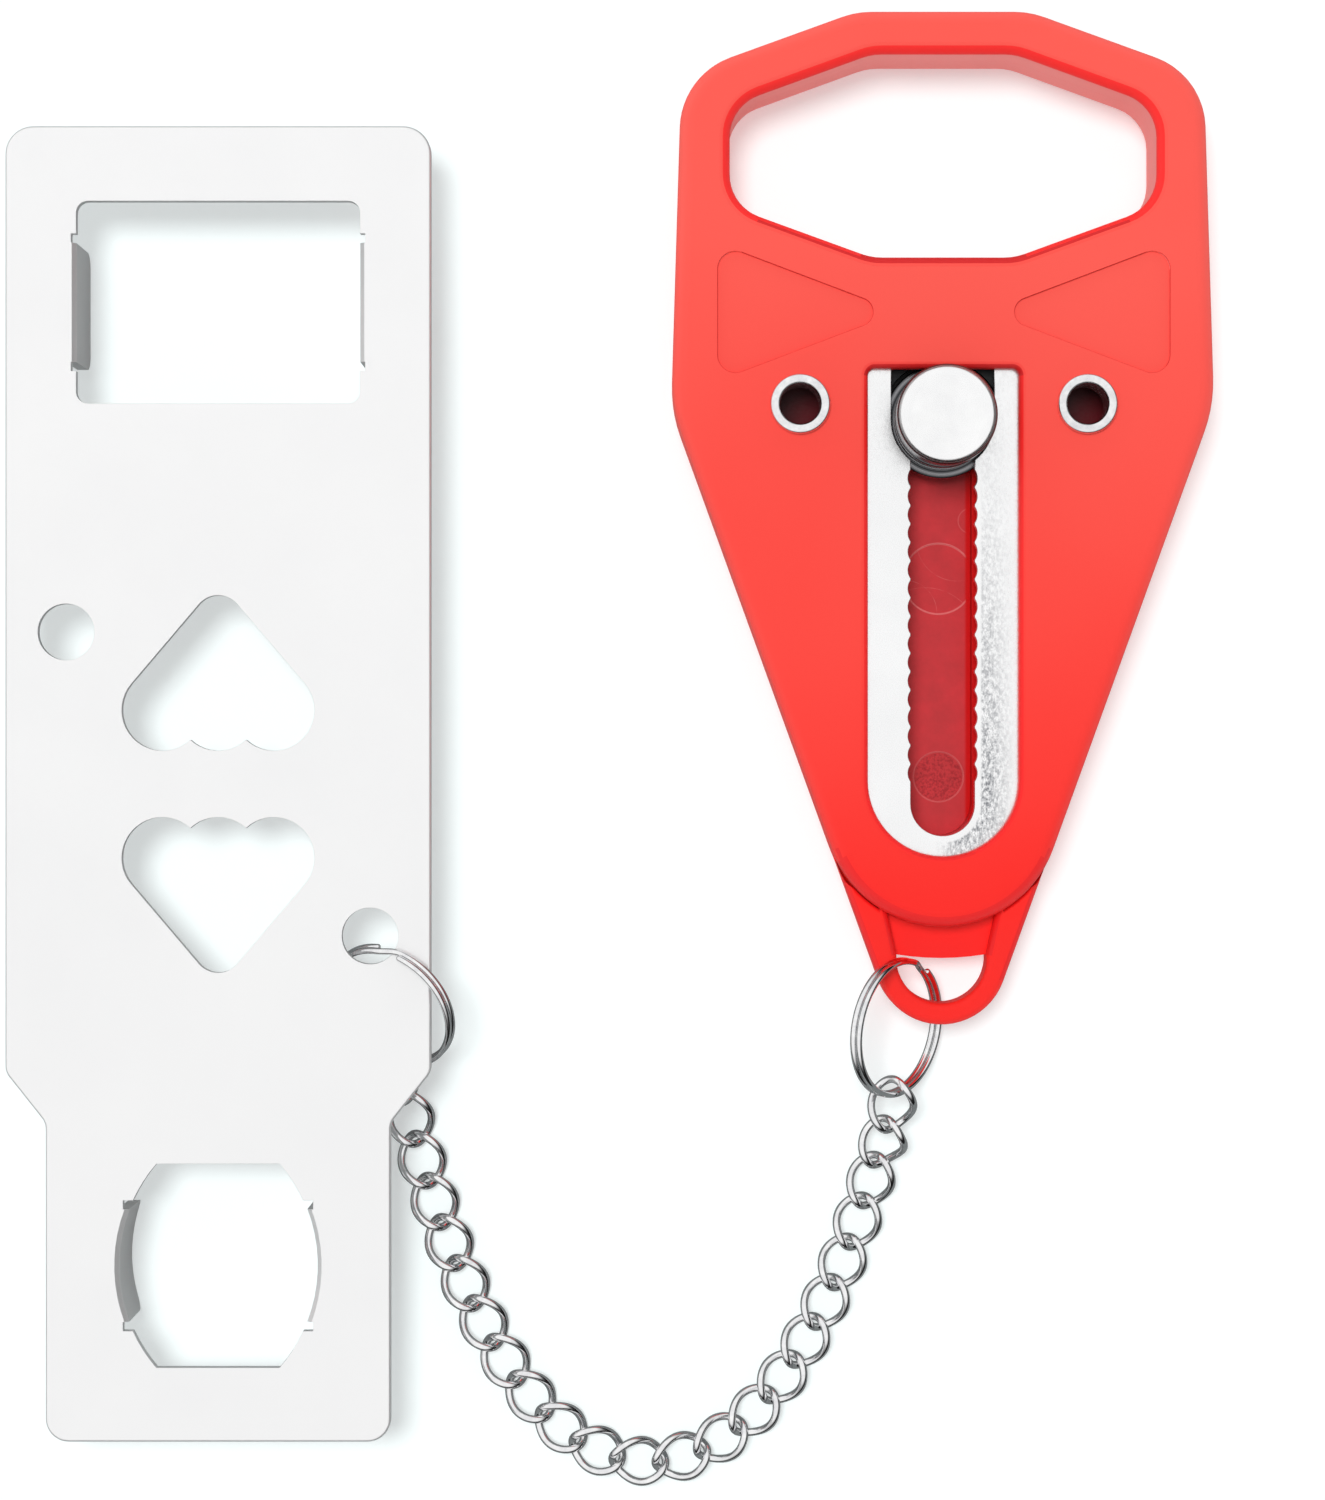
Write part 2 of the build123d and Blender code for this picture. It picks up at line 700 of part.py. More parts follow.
with BuildPart() as rear_housing:
    with BuildSketch(Plane((body_x, body_y, 0))):
        add(shell_outline.sketch)
        add(grip_hole.sketch, mode=Mode.SUBTRACT)
    extrude(amount=split)
    foot_edges = level_edges(rear_housing.edges(), 0)
    grip_edges = within(foot_edges, body_x, body_y + grip_offset, grip_half_width + overrun,
                        grip_half_height + overrun)
    chamfer(grip_edges, grip_edge_bevel)
    chamfer([e for e in foot_edges if e not in grip_edges], body_edge_bevel)
    add(tail_form.part)
    # rails that hold the track plate up, with the channel between them
    with BuildSketch(Plane((body_x, body_y, split))):
        add(track_outline.sketch)
        add(channel.sketch, mode=Mode.SUBTRACT)
    extrude(amount=track_foot - split)
    with BuildSketch(Plane((body_x, body_y, groove_floor))):
        add(groove.sketch)
    extrude(amount=split - groove_floor, mode=Mode.SUBTRACT)
    with BuildSketch(Plane((body_x, body_y, groove_floor - mark_depth))):
        with Locations((0, -mark_high)):
            Circle(mark_high_radius)
        with Locations((0, -mark_low)):
            Circle(mark_low_radius)
        add(groove.sketch, mode=Mode.INTERSECT)
    extrude(amount=mark_depth, mode=Mode.SUBTRACT)
    # wells under the rivets, down to the channel's floor
    with BuildSketch(Plane((body_x, body_y, groove_floor))):
        with Locations((-rivet_offset, 0), (rivet_offset, 0)):
            Circle(rivet_foot_radius + rivet_well_gap)
    extrude(amount=track_foot - groove_floor, mode=Mode.SUBTRACT)
rear_housing.part.label = "rear_housing"
export_step(rear_housing.part, "parts/rear_housing.step")

# Hollow rivets: a tube rolled over in front, with a flange under the track plate
roll_top = body_thickness + rivet_roll_height
for side, name in ((-1, "rivet_left"), (1, "rivet_right")):
    with BuildPart() as rivet:
        with BuildSketch(Plane((body_x + side * rivet_offset, body_y, 0), x_dir=(1, 0, 0), z_dir=(0, -1, 0))):
            with BuildLine():
                Polyline(
                    (rivet_bore_radius, track_foot - rivet_foot_height),
                    (rivet_foot_radius, track_foot - rivet_foot_height),
                    (rivet_foot_radius, track_foot),
                    (rivet_shank_radius, track_foot),
                    (rivet_shank_radius, body_thickness),
                    (rivet_roll_radius, body_thickness),
                    (rivet_roll_radius, roll_top - rivet_roll_bevel),
                    (rivet_roll_radius - rivet_roll_bevel, roll_top),
                    (rivet_bore_radius, roll_top),
                    close=True,
                )
            make_face()
        revolve(axis=Axis((body_x + side * rivet_offset, body_y, 0), (0, 0, 1)))
    rivet.part.label = name
    export_step(rivet.part, f"parts/{name}.step")

# Locking stud: pilot, foot, shank, flange, neck and head, turned in one piece
stud_y = body_y + stud_offset
foot_low = split + running_gap
foot_high = track_foot - running_gap
flange_low = track_top + running_gap
flange_high = flange_low + flange_height
neck_high = flange_high + plate_thickness + neck_gap
head_high = neck_high + head_height
with BuildPart() as locking_stud:
    with BuildSketch(Plane((body_x, stud_y, 0), x_dir=(1, 0, 0), z_dir=(0, -1, 0))):
        with BuildLine():
            Polyline(
                (0, foot_low - pilot_height),
                (pilot_radius, foot_low - pilot_height),
                (pilot_radius, foot_low),
                (foot_radius, foot_low),
                (foot_radius, foot_high),
                (shank_radius, foot_high),
                (shank_radius, flange_low),
                (flange_radius, flange_low),
                (flange_radius, flange_high),
                (neck_radius, flange_high),
                (neck_radius, neck_high),
                (head_radius, neck_high),
                (head_radius, head_high - head_chamfer),
                (head_radius - head_chamfer, head_high),
                (0, head_high),
                close=True,
            )
        make_face()
    revolve(axis=Axis((body_x, stud_y, 0), (0, 0, 1)))
locking_stud.part.label = "locking_stud"
export_step(locking_stud.part, "parts/locking_stud.step")

# The least gap of a ring's wire to itself, measured on points of its two turns
lower = [ring_point(angle) for angle in first_turn]
upper = [ring_point(angle) for angle in jog_turn[1:] + second_turn]
turn_clear = min((a - b).length for a in lower[:-1] for b in upper) - ring_wire
print(f"ring wire, least gap to itself {turn_clear:.3f}, chain length "
      f"{(link_pitch * link_count + 2 * link_reach):.1f}")
print("body middle", round(body_x, 3), round(body_y, 3), "stud travel", round(slot_run, 3))
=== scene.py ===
import bpy
import bmesh
import json
import math
import numpy as np
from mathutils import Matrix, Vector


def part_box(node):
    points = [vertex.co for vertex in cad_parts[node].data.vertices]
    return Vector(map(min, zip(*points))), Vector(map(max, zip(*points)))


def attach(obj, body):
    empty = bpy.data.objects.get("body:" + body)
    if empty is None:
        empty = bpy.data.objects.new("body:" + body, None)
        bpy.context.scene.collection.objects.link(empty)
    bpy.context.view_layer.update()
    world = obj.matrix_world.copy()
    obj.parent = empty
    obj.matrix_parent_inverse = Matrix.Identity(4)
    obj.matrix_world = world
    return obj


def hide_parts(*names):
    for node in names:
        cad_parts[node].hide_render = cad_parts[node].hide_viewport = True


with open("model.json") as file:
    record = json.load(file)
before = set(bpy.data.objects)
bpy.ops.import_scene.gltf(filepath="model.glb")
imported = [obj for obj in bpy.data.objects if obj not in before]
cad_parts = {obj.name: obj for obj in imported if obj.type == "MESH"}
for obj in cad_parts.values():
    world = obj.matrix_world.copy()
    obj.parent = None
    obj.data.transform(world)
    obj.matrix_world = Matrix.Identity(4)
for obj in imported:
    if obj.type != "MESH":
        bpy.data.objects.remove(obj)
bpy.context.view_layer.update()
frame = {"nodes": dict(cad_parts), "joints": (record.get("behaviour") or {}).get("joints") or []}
nodes = frame["nodes"]
joints = {joint["name"]: joint for joint in frame["joints"]}
mm = 0.001
# the widest line's middle, from the rivets
lockMiddle = [sum(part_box(f"rivet_{side}")[end][axis] for side in ("left", "right") for end in (0, 1)) / 4
              for axis in (0, 1)]
print("frame loaded,", len(nodes), "nodes")


def startMaterial(name):
    # A new material, its node tree and its Principled shader.
    material = bpy.data.materials.new(name)
    material.use_nodes = True
    tree = material.node_tree
    shader = tree.nodes["Principled BSDF"]
    return material, tree, shader


def addNode(tree, kind, **settings):
    # A node; a setting names one of its sockets or one of its own values.
    made = tree.nodes.new(kind)
    for key, value in settings.items():
        if key in made.inputs:
            made.inputs[key].default_value = value
        else:
            setattr(made, key, value)
    return made


def noiseOn(tree, scale, detail=3.0, roughness=0.5, stretch=(1, 1, 1)):
    # Noise on Object coordinates; scale is in features per metre.
    place = addNode(tree, "ShaderNodeTexCoord")
    turn = addNode(tree, "ShaderNodeMapping")
    turn.inputs["Scale"].default_value = stretch
    noise = addNode(tree, "ShaderNodeTexNoise", Scale=scale, Detail=detail, Roughness=roughness)
    tree.links.new(place.outputs["Object"], turn.inputs["Vector"])
    tree.links.new(turn.outputs["Vector"], noise.inputs["Vector"])
    return noise


def rangeOf(tree, source, low, high, fromLow=0.3, fromHigh=0.7):
    # Maps fromLow..fromHigh to low..high; the span that isn't named is where a noise mostly lies.
    ramp = addNode(tree, "ShaderNodeMapRange")
    ramp.inputs["From Min"].default_value = fromLow
    ramp.inputs["From Max"].default_value = fromHigh
    ramp.inputs["To Min"].default_value = low
    ramp.inputs["To Max"].default_value = high
    tree.links.new(source, ramp.inputs["Value"])
    return ramp.outputs["Result"]


def mixOf(tree, share, first, second):
    # Colour between first and second, by share.
    mix = addNode(tree, "ShaderNodeMix", data_type="RGBA")
    mix.inputs["A"].default_value = (*first, 1)
    mix.inputs["B"].default_value = (*second, 1)
    tree.links.new(share, mix.inputs["Factor"])
    return mix.outputs["Result"]


def mathOf(tree, operation, *values):
    # A socket worked out from sockets and numbers.
    made = addNode(tree, "ShaderNodeMath", operation=operation)
    for socket, value in zip(made.inputs, values):
        if isinstance(value, bpy.types.NodeSocket):
            tree.links.new(value, socket)
        else:
            socket.default_value = value
    return made.outputs["Value"]


def axesOf(tree):
    # Object coordinates, one socket per axis.
    place = addNode(tree, "ShaderNodeTexCoord")
    split = addNode(tree, "ShaderNodeSeparateXYZ")
    tree.links.new(place.outputs["Object"], split.inputs["Vector"])
    return split.outputs


def bandOf(tree, value, low, high, soft):
    # 1 between low and high, falling to 0 over soft at either end.
    rise = rangeOf(tree, value, 0, 1, low - soft, low)
    fall = rangeOf(tree, value, 1, 0, high, high + soft)
    return mathOf(tree, "MULTIPLY", rise, fall)


def reachOf(tree, x, y):
    # Level distance from an upright axis at x, y.
    place = addNode(tree, "ShaderNodeTexCoord")
    flat = addNode(tree, "ShaderNodeMapping")
    flat.inputs["Scale"].default_value = (1, 1, 0)
    reach = addNode(tree, "ShaderNodeVectorMath", operation="DISTANCE")
    reach.inputs[1].default_value = (x, y, 0)
    tree.links.new(place.outputs["Object"], flat.inputs["Vector"])
    tree.links.new(flat.outputs["Vector"], reach.inputs[0])
    return reach.outputs["Value"]


def laidOver(tree, share, under, over):
    # A colour socket with over laid on it where share is 1.
    mix = addNode(tree, "ShaderNodeMix", data_type="RGBA")
    tree.links.new(share, mix.inputs["Factor"])
    tree.links.new(under, mix.inputs["A"])
    if isinstance(over, bpy.types.NodeSocket):
        tree.links.new(over, mix.inputs["B"])
    else:
        mix.inputs["B"].default_value = (*over, 1)
    return mix.outputs["Result"]


def bumpFrom(tree, height, strength, distance):
    # A normal from a height map; distance is in metres.
    bump = addNode(tree, "ShaderNodeBump", Strength=strength, Distance=distance)
    tree.links.new(height, bump.inputs["Height"])
    return bump.outputs["Normal"]


def dress(tree, shader, look, colour, relief, *span):
    # Colour, roughness, bump and metal of a material. Roughness and bump follow the height map relief.
    tree.links.new(colour, shader.inputs["Base Color"])
    tree.links.new(rangeOf(tree, relief, *look["roughness"], *span), shader.inputs["Roughness"])
    tree.links.new(bumpFrom(tree, relief, look["bump"], look["bumpDepth"]), shader.inputs["Normal"])
    shader.inputs["Metallic"].default_value = look["metallic"]


# places are in millimetres, x and y from the widest line's middle
redLook = {
    "bright": (0.93, 0.100, 0.078), "deep": (0.92, 0.020, 0.015),
    "turn": (-0.025, 0.068), "drift": 0.16, "driftScale": 22,   # metres up the frame, and a share
    # painted shade on leaning faces and hollows, in two deeper reds
    "paintedShade": (0.93, 0.016, 0.016), "paintedShadeShare": 0.9, "groove": (0.52, 0.012, 0.014),
    # a painted pink glow of light thrown up from the floor onto the grip's inner wall
    "paintedFloorGlow": (0.98, 0.34, 0.32),
    # painted shade on the channel's floor, clouded
    "shade": (0.64, 0.040, 0.049), "shadeDark": (0.52, 0.036, 0.042), "shadeScale": 260,
    # painted shade: a deeper red strip along the channel's right wall
    "wall": (0.60, 0.003, 0.004), "wallFrom": 3.5, "wallSoft": 0.35,
    # painted shade: the rivets' wells, nearly black
    "paintedWellShade": (0.10, 0.006, 0.010), "wellFrom": 16.0,
    # painted shade: the keyhole's end, nearly black
    "paintedKeyholeShade": (0.004, 0.005, 0.006), "keyholeX": 7.6, "keyholeY": (-3.0, 9.0),
    "keyholeZ": (2.2, 10.0), "keyholeSoft": 0.1,
    "line": (0.78, 0.20, 0.20), "brokenScale": 700, "brokenSpan": (0.35, 0.6),
    "grit": (0.26, 0.010, 0.016), "gritShare": 0.7, "gritScale": 3000, "gritSpan": (0.44, 0.62),
    "sunkX": 8.6, "sunkY": (-58.5, 9.5), "sunkZ": (2.2, 8.1), "sunkSoft": 0.2,
    "wellsX": 24.0, "wellsY": (-6.0, 6.0),
    # moulded circles drawn as light lines, a painted highlight on their rims, and worn arcs inside the
    # first: x, y, radius, line width, strength
    "marks": ((0.0, -22.9, 4.8, 0.16, 0.8), (0.0, -49.9, 3.4, 0.14, 0.4), (4.4, -15.0, 1.7, 0.10, 0.3)),
    "arcs": ((-4.6, -27.5, 4.4, 0.05, 0.45), (2.6, -17.6, 5.6, 0.05, 0.40), (-1.8, -31.5, 7.4, 0.05, 0.35)),
    "markInside": 0.3,
    "grainScale": 2600, "bump": 0.06, "bumpDepth": 0.0002, "roughness": (0.36, 0.46),
    "specular": 0.34, "metallic": 0.0,
}


def discOf(tree, x, y, mark):
    # 1 inside a mark's circle, falling to 0 towards its line.
    dx, dy, radius = mark[:3]
    reach = reachOf(tree, x + dx * mm, y + dy * mm)
    return rangeOf(tree, reach, 1, 0, (radius - redLook["markInside"]) * mm, radius * mm)


def lineOf(tree, x, y, mark):
    # A circle's line, as strong as the mark says.
    dx, dy, radius, width, strength = mark
    reach = reachOf(tree, x + dx * mm, y + dy * mm)
    line = bandOf(tree, reach, (radius - width / 2) * mm, (radius + width / 2) * mm, width / 2 * mm)
    return mathOf(tree, "MULTIPLY", line, strength)


def sunkColour(tree, axes, x, y):
    # The channel's floor, painted darker as shade: clouded, with moulded circles drawn as light lines, a
    # painted highlight on their rims, worn arcs and a gritty lower circle. The strip along the right wall is
    # a deeper painted shade, and the rivets' wells are painted nearly black as shade.
    look = redLook
    cloud = noiseOn(tree, look["shadeScale"], detail=4, roughness=0.6)
    sunk = mixOf(tree, rangeOf(tree, cloud.outputs["Fac"], 0, 1), look["shade"], look["shadeDark"])
    upper, lower = [discOf(tree, x, y, mark) for mark in look["marks"][:2]]
    patches = noiseOn(tree, look["brokenScale"], detail=2)
    broken = rangeOf(tree, patches.outputs["Fac"], 0, 1, *look["brokenSpan"])
    # each circle's line is light, a painted highlight on its rim
    for mark in look["marks"]:
        sunk = laidOver(tree, lineOf(tree, x, y, mark), sunk, look["line"])
    for arc in look["arcs"]:
        line = mathOf(tree, "MULTIPLY", mathOf(tree, "MULTIPLY", lineOf(tree, x, y, arc), upper), broken)
        sunk = laidOver(tree, line, sunk, look["line"])
    grit = noiseOn(tree, look["gritScale"], roughness=0.7)
    speck = rangeOf(tree, grit.outputs["Fac"], 0, look["gritShare"], *look["gritSpan"])
    sunk = laidOver(tree, mathOf(tree, "MULTIPLY", speck, lower), sunk, look["grit"])
    # a strip along the channel's right wall, painted deeper as shade
    edge = x + look["wallFrom"] * mm
    strip = rangeOf(tree, axes["X"], 0, 1, edge, edge + look["wallSoft"] * mm)
    sunk = laidOver(tree, strip, sunk, look["wall"])
    # outside the channel's reach, the rivets' wells are painted nearly black as shade
    side = mathOf(tree, "ABSOLUTE", mathOf(tree, "SUBTRACT", axes["X"], x))
    paintedWellShade = mathOf(tree, "GREATER_THAN", side, look["wellFrom"] * mm)
    return laidOver(tree, paintedWellShade, sunk, look["paintedWellShade"])


def boxOf(tree, axes, x, y, reachX, spanY, spanZ, soft):
    # 1 inside a box about the lock's middle line; spans are in millimetres.
    sharp = 0.01 * mm
    across = bandOf(tree, axes["X"], x - reachX * mm, x + reachX * mm, sharp)
    length = bandOf(tree, axes["Y"], *[y + end * mm for end in spanY], sharp)
    depth = bandOf(tree, axes["Z"], *[end * mm for end in spanZ], soft * mm)
    return mathOf(tree, "MULTIPLY", mathOf(tree, "MULTIPLY", across, length), depth)


def makeRedPlastic():
    # Moulded plastic: the red deepens slowly from the grip to the tail, with a drift. On the lips of the
    # openings, leaning faces are painted a deeper red as shade, where a face attribute says. The grip's
    # inner wall is painted lighter, a painted glow of light from the floor, where a second face attribute
    # says. The channel is painted darker as shade, and the wells and the keyhole are painted nearly black as
    # shade.
    look = redLook
    x, y = lockMiddle
    material, tree, shader = startMaterial("redPlastic")
    axes = axesOf(tree)
    drift = rangeOf(tree, noiseOn(tree, look["driftScale"], detail=2).outputs["Fac"], -0.5, 0.5)
    along = rangeOf(tree, axes["Y"], 1, 0, *look["turn"])
    share = mathOf(tree, "MULTIPLY_ADD", drift, look["drift"], along)
    outer = mixOf(tree, share, look["bright"], look["deep"])
    # leaning faces get a deeper red, painted shade
    paintedShade = addNode(tree, "ShaderNodeAttribute", attribute_name="paintedShade")
    share = mathOf(tree, "MULTIPLY", mathOf(tree, "MINIMUM", paintedShade.outputs["Fac"], 1.0), look["paintedShadeShare"])
    outer = laidOver(tree, share, outer, look["paintedShade"])
    # a share above 1 turns to the darker red of a painted groove shade
    outer = laidOver(tree, rangeOf(tree, paintedShade.outputs["Fac"], 0, 1, 1, 2), outer, look["groove"])
    # the grip's inner wall is painted lighter pink, a painted glow of light thrown up from the floor
    paintedFloorGlow = addNode(tree, "ShaderNodeAttribute", attribute_name="paintedFloorGlow")
    outer = laidOver(tree, paintedFloorGlow.outputs["Fac"], outer, look["paintedFloorGlow"])
    # the channel and the wells take the painted shade of the sunk floor
    channel = boxOf(tree, axes, x, y, look["sunkX"], look["sunkY"], look["sunkZ"], look["sunkSoft"])
    wells = boxOf(tree, axes, x, y, look["wellsX"], look["wellsY"], look["sunkZ"], look["sunkSoft"])
    sunk = mathOf(tree, "MAXIMUM", channel, wells)
    whole = laidOver(tree, sunk, outer, sunkColour(tree, axes, x, y))
    # the keyhole's end is painted nearly black, a painted shade
    end = boxOf(tree, axes, x, y, look["keyholeX"], look["keyholeY"], look["keyholeZ"], look["keyholeSoft"])
    whole = laidOver(tree, end, whole, look["paintedKeyholeShade"])
    grain = noiseOn(tree, look["grainScale"], detail=2, roughness=0.6)
    dress(tree, shader, look, whole, grain.outputs["Fac"])
    shader.inputs["Specular IOR Level"].default_value = look["specular"]
    return material


plateLook = {
    "light": (0.893, 0.893, 0.893), "dark": (0.874, 0.874, 0.876), "cloudScale": 60,
    "roughness": (0.285, 0.325), "streakScale": 900, "streak": (1, 0.05, 1),
    "bump": 0.02, "bumpDepth": 0.0001,
    "metallic": 0.7,   # the coat is partly a whitish haze
}


def makePlateSteel():
    # Plated sheet: satin, with faint rolling streaks along the plate and small clouded patches.
    look = plateLook
    material, tree, shader = startMaterial("plateSteel")
    streaks = noiseOn(tree, look["streakScale"], roughness=0.6, stretch=look["streak"]).outputs["Fac"]
    clouds = noiseOn(tree, look["cloudScale"], detail=4).outputs["Fac"]
    colour = mixOf(tree, rangeOf(tree, clouds, 0, 1), look["light"], look["dark"])
    dress(tree, shader, look, colour, streaks)
    return material


# the worn band lies right of the slot; places are in millimetres from the widest line's middle
trackLook = {
    "light": (0.95, 0.952, 0.955), "dark": (0.86, 0.865, 0.87), "cloudScale": 120,
    "worn": (0.24, 0.25, 0.27),
    "wornX": (5.3, 6.3), "wornRise": 0.25, "wornFall": 3.4, "wornY": (-50.0, -8.0), "wornFaint": 0.12,
    "slotEnd": -53.5, "bendOver": 2.0, "bendX": (-1.0, 2.5),
    "grainScale": 2900, "grainShape": (1, 0.6, 1), "grainSpan": (0.40, 0.64),
    "roughness": (0.20, 0.32), "bump": 0.06, "bumpDepth": 0.0001, "metallic": 1.0,
}


def makeTrackSteel():
    # Zinc-coated blank: nearly even on the left, with a band of dark grains right of the slot that grows
    # stronger towards the slot's end.
    look = trackLook
    x, y = lockMiddle
    material, tree, shader = startMaterial("trackSteel")
    axes = axesOf(tree)
    clouds = noiseOn(tree, look["cloudScale"]).outputs["Fac"]
    ground = mixOf(tree, rangeOf(tree, clouds, 0, 0.5), look["light"], look["dark"])
    grains = noiseOn(tree, look["grainScale"], roughness=0.7, stretch=look["grainShape"]).outputs["Fac"]
    start, full = look["wornX"]

    def wornAcross(distance, centre):
        # The band's share at a distance right of the slot's middle line, or out from its end's centre.
        rise = rangeOf(tree, distance, 0, 1, centre + (start - look["wornRise"]) * mm, centre + start * mm)
        fall = rangeOf(tree, distance, 1, 0, centre + full * mm, centre + (full + look["wornFall"]) * mm)
        return mathOf(tree, "MULTIPLY", rise, fall)

    # beside the slot the band is straight, below it bends round the slot's end
    slotEnd = y + look["slotEnd"] * mm
    low = rangeOf(tree, axes["Y"], 1, 0, slotEnd, slotEnd + look["bendOver"] * mm)
    right = rangeOf(tree, axes["X"], 0, 1, *[x + end * mm for end in look["bendX"]])
    bend = mathOf(tree, "MULTIPLY", wornAcross(reachOf(tree, x, slotEnd), 0.0), right)
    upper = mathOf(tree, "MULTIPLY", wornAcross(axes["X"], x), mathOf(tree, "SUBTRACT", 1.0, low))
    fade = rangeOf(tree, axes["Y"], 1.0, look["wornFaint"], *[y + end * mm for end in look["wornY"]])
    share = mathOf(tree, "MULTIPLY", mathOf(tree, "MULTIPLY_ADD", bend, low, upper), fade)
    speck = rangeOf(tree, grains, 0, 1, *look["grainSpan"])
    colour = laidOver(tree, mathOf(tree, "MULTIPLY", speck, share), ground, look["worn"])
    dress(tree, shader, look, colour, grains)
    return material


nickelCoat = {"rubScale": 700, "bump": 0.03, "bumpDepth": 0.0001, "metallic": 1.0}
nickelLook = {
    "chainNickel": {"light": (0.95, 0.95, 0.95), "dark": (0.76, 0.76, 0.78), "roughness": (0.05, 0.13)},
    "ringNickel": {"light": (0.94, 0.94, 0.94), "dark": (0.74, 0.74, 0.76), "roughness": (0.04, 0.11)},
    "rivetSteel": {"light": (0.92, 0.92, 0.92), "dark": (0.72, 0.72, 0.74), "roughness": (0.15, 0.30)},
}


def makeNickel(name):
    # Bright plating on wire and rivets: smooth, with small dull rubbed spots.
    look = {**nickelCoat, **nickelLook[name]}
    material, tree, shader = startMaterial(name)
    rub = noiseOn(tree, look["rubScale"], roughness=0.6).outputs["Fac"]
    colour = mixOf(tree, rangeOf(tree, rub, 0, 1), look["light"], look["dark"])
    dress(tree, shader, look, colour, rub)
    return material


studLook = {
    "light": (0.97, 0.97, 0.97), "dark": (0.90, 0.90, 0.905), "cloudScale": 300,
    "roughness": (0.16, 0.30), "turningScale": 1400, "turningWaver": 1.5, "turningDetail": 2.0,
    "bump": 0.08, "bumpDepth": 0.00005, "metallic": 1.0,
    # painted dark reflection and shade below the head's rim, in rings; heights in millimetres
    "paintedDarkReflection": (0.035, 0.037, 0.04), "paintedReflectionLight": (0.26, 0.26, 0.27), "paintedReflectionTop": 18.3, "paintedReflectionSoft": 0.3,
    "paintedReflectionPitch": 0.8,
}


def makeTurnedSteel(centre):
    # Turned bar: fine rings of the tool about the stud's axis. Below the head's rim the colour is painted
    # dark in rings, a painted reflection and shade.
    look = studLook
    material, tree, shader = startMaterial("turnedSteel")
    place = addNode(tree, "ShaderNodeTexCoord")
    turn = addNode(tree, "ShaderNodeMapping")
    turn.inputs["Location"].default_value = (-centre[0], -centre[1], 0)
    rings = addNode(tree, "ShaderNodeTexWave", wave_type="RINGS", rings_direction="Z",
                    Scale=look["turningScale"], Distortion=look["turningWaver"],
                    Detail=look["turningDetail"])
    tree.links.new(place.outputs["Object"], turn.inputs["Vector"])
    tree.links.new(turn.outputs["Vector"], rings.inputs["Vector"])
    cloud = noiseOn(tree, look["cloudScale"])
    bright = mixOf(tree, rangeOf(tree, cloud.outputs["Fac"], 0, 1), look["light"], look["dark"])
    height = axesOf(tree)["Z"]
    across = mathOf(tree, "ADD", height, reachOf(tree, centre[0], centre[1]))
    # below the head's rim, rings of painted dark reflection and shade
    reflectionRings = mathOf(tree, "SINE", mathOf(tree, "MULTIPLY", across, 2 * math.pi / (look["paintedReflectionPitch"] * mm)))
    paintedDarkReflection = mixOf(tree, rangeOf(tree, reflectionRings, 0, 1, -1, 1), look["paintedDarkReflection"], look["paintedReflectionLight"])
    top = look["paintedReflectionTop"] * mm
    low = rangeOf(tree, height, 1, 0, top - look["paintedReflectionSoft"] * mm, top)
    dress(tree, shader, look, laidOver(tree, low, bright, paintedDarkReflection), rings.outputs["Fac"], 0, 1)
    return material


redPlastic = makeRedPlastic()
plateSteel = makePlateSteel()
trackSteel = makeTrackSteel()
chainNickel = makeNickel("chainNickel")
ringNickel = makeNickel("ringNickel")
rivetSteel = makeNickel("rivetSteel")
print("materials ready")


def putMesh(name, points, faces, material, body):
    # A smooth piece in metres from points in millimetres; it rides on body.
    mesh = bpy.data.meshes.new(name)
    mesh.from_pydata((points * mm).tolist(), [], faces)
    mesh.materials.append(material)
    mesh.polygons.foreach_set("use_smooth", np.ones(len(mesh.polygons), bool))
    mesh.update()
    made = bpy.data.objects.new(name, mesh)
    bpy.context.scene.collection.objects.link(made)
    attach(made, body)
    return made


def gridFaces(rows, columns, closed):
    # Quads of a grid numbered row by row. Each row is a loop; the last row joins the first if closed.
    i, j = np.meshgrid(np.arange(rows - (not closed)), np.arange(columns), indexing="ij")
    a = i * columns + j
    b = i * columns + (j + 1) % columns
    c = (i + 1) % rows * columns + (j + 1) % columns
    d = (i + 1) % rows * columns + j
    return np.stack([a, b, c, d], -1).reshape(-1, 4).tolist()


def unit(v):
    # Each vector at length 1.
    return v / np.linalg.norm(v, axis=-1, keepdims=True)


def wireRound(path, outward, radius, sides, closed):
    # Round wire: each point of the path plus radius times (cos of outward, sin of sideways).
    if closed:
        along = np.roll(path, -1, 0) - np.roll(path, 1, 0)
    else:
        along = np.gradient(path, axis=0)
    along = unit(along)
    out = unit(outward - (outward * along).sum(-1, keepdims=True) * along)
    side = np.cross(along, out)
    turn = np.linspace(0, 2 * np.pi, sides, endpoint=False)[None, :, None]
    radius = np.broadcast_to(radius, len(path))[:, None, None]
    return path[:, None, :] + radius * (np.cos(turn) * out[:, None, :] + np.sin(turn) * side[:, None, :])


linkSet = {
    "wire": 1.06, "length": 8.40, "width": 6.78,   # outside, round wire
    "twist": 45.0,                                 # degrees each end turns from the middle
    "steps": 72, "sides": 16,
    "endRoll": 126.0,                              # of the plain link at the plate's ring
}
curbLinks = 22
linkBodies = ["end_link"] + [f"link_{k:02d}" for k in range(1, curbLinks + 1)]
linkNames = [f"chain_{body}" for body in linkBodies]


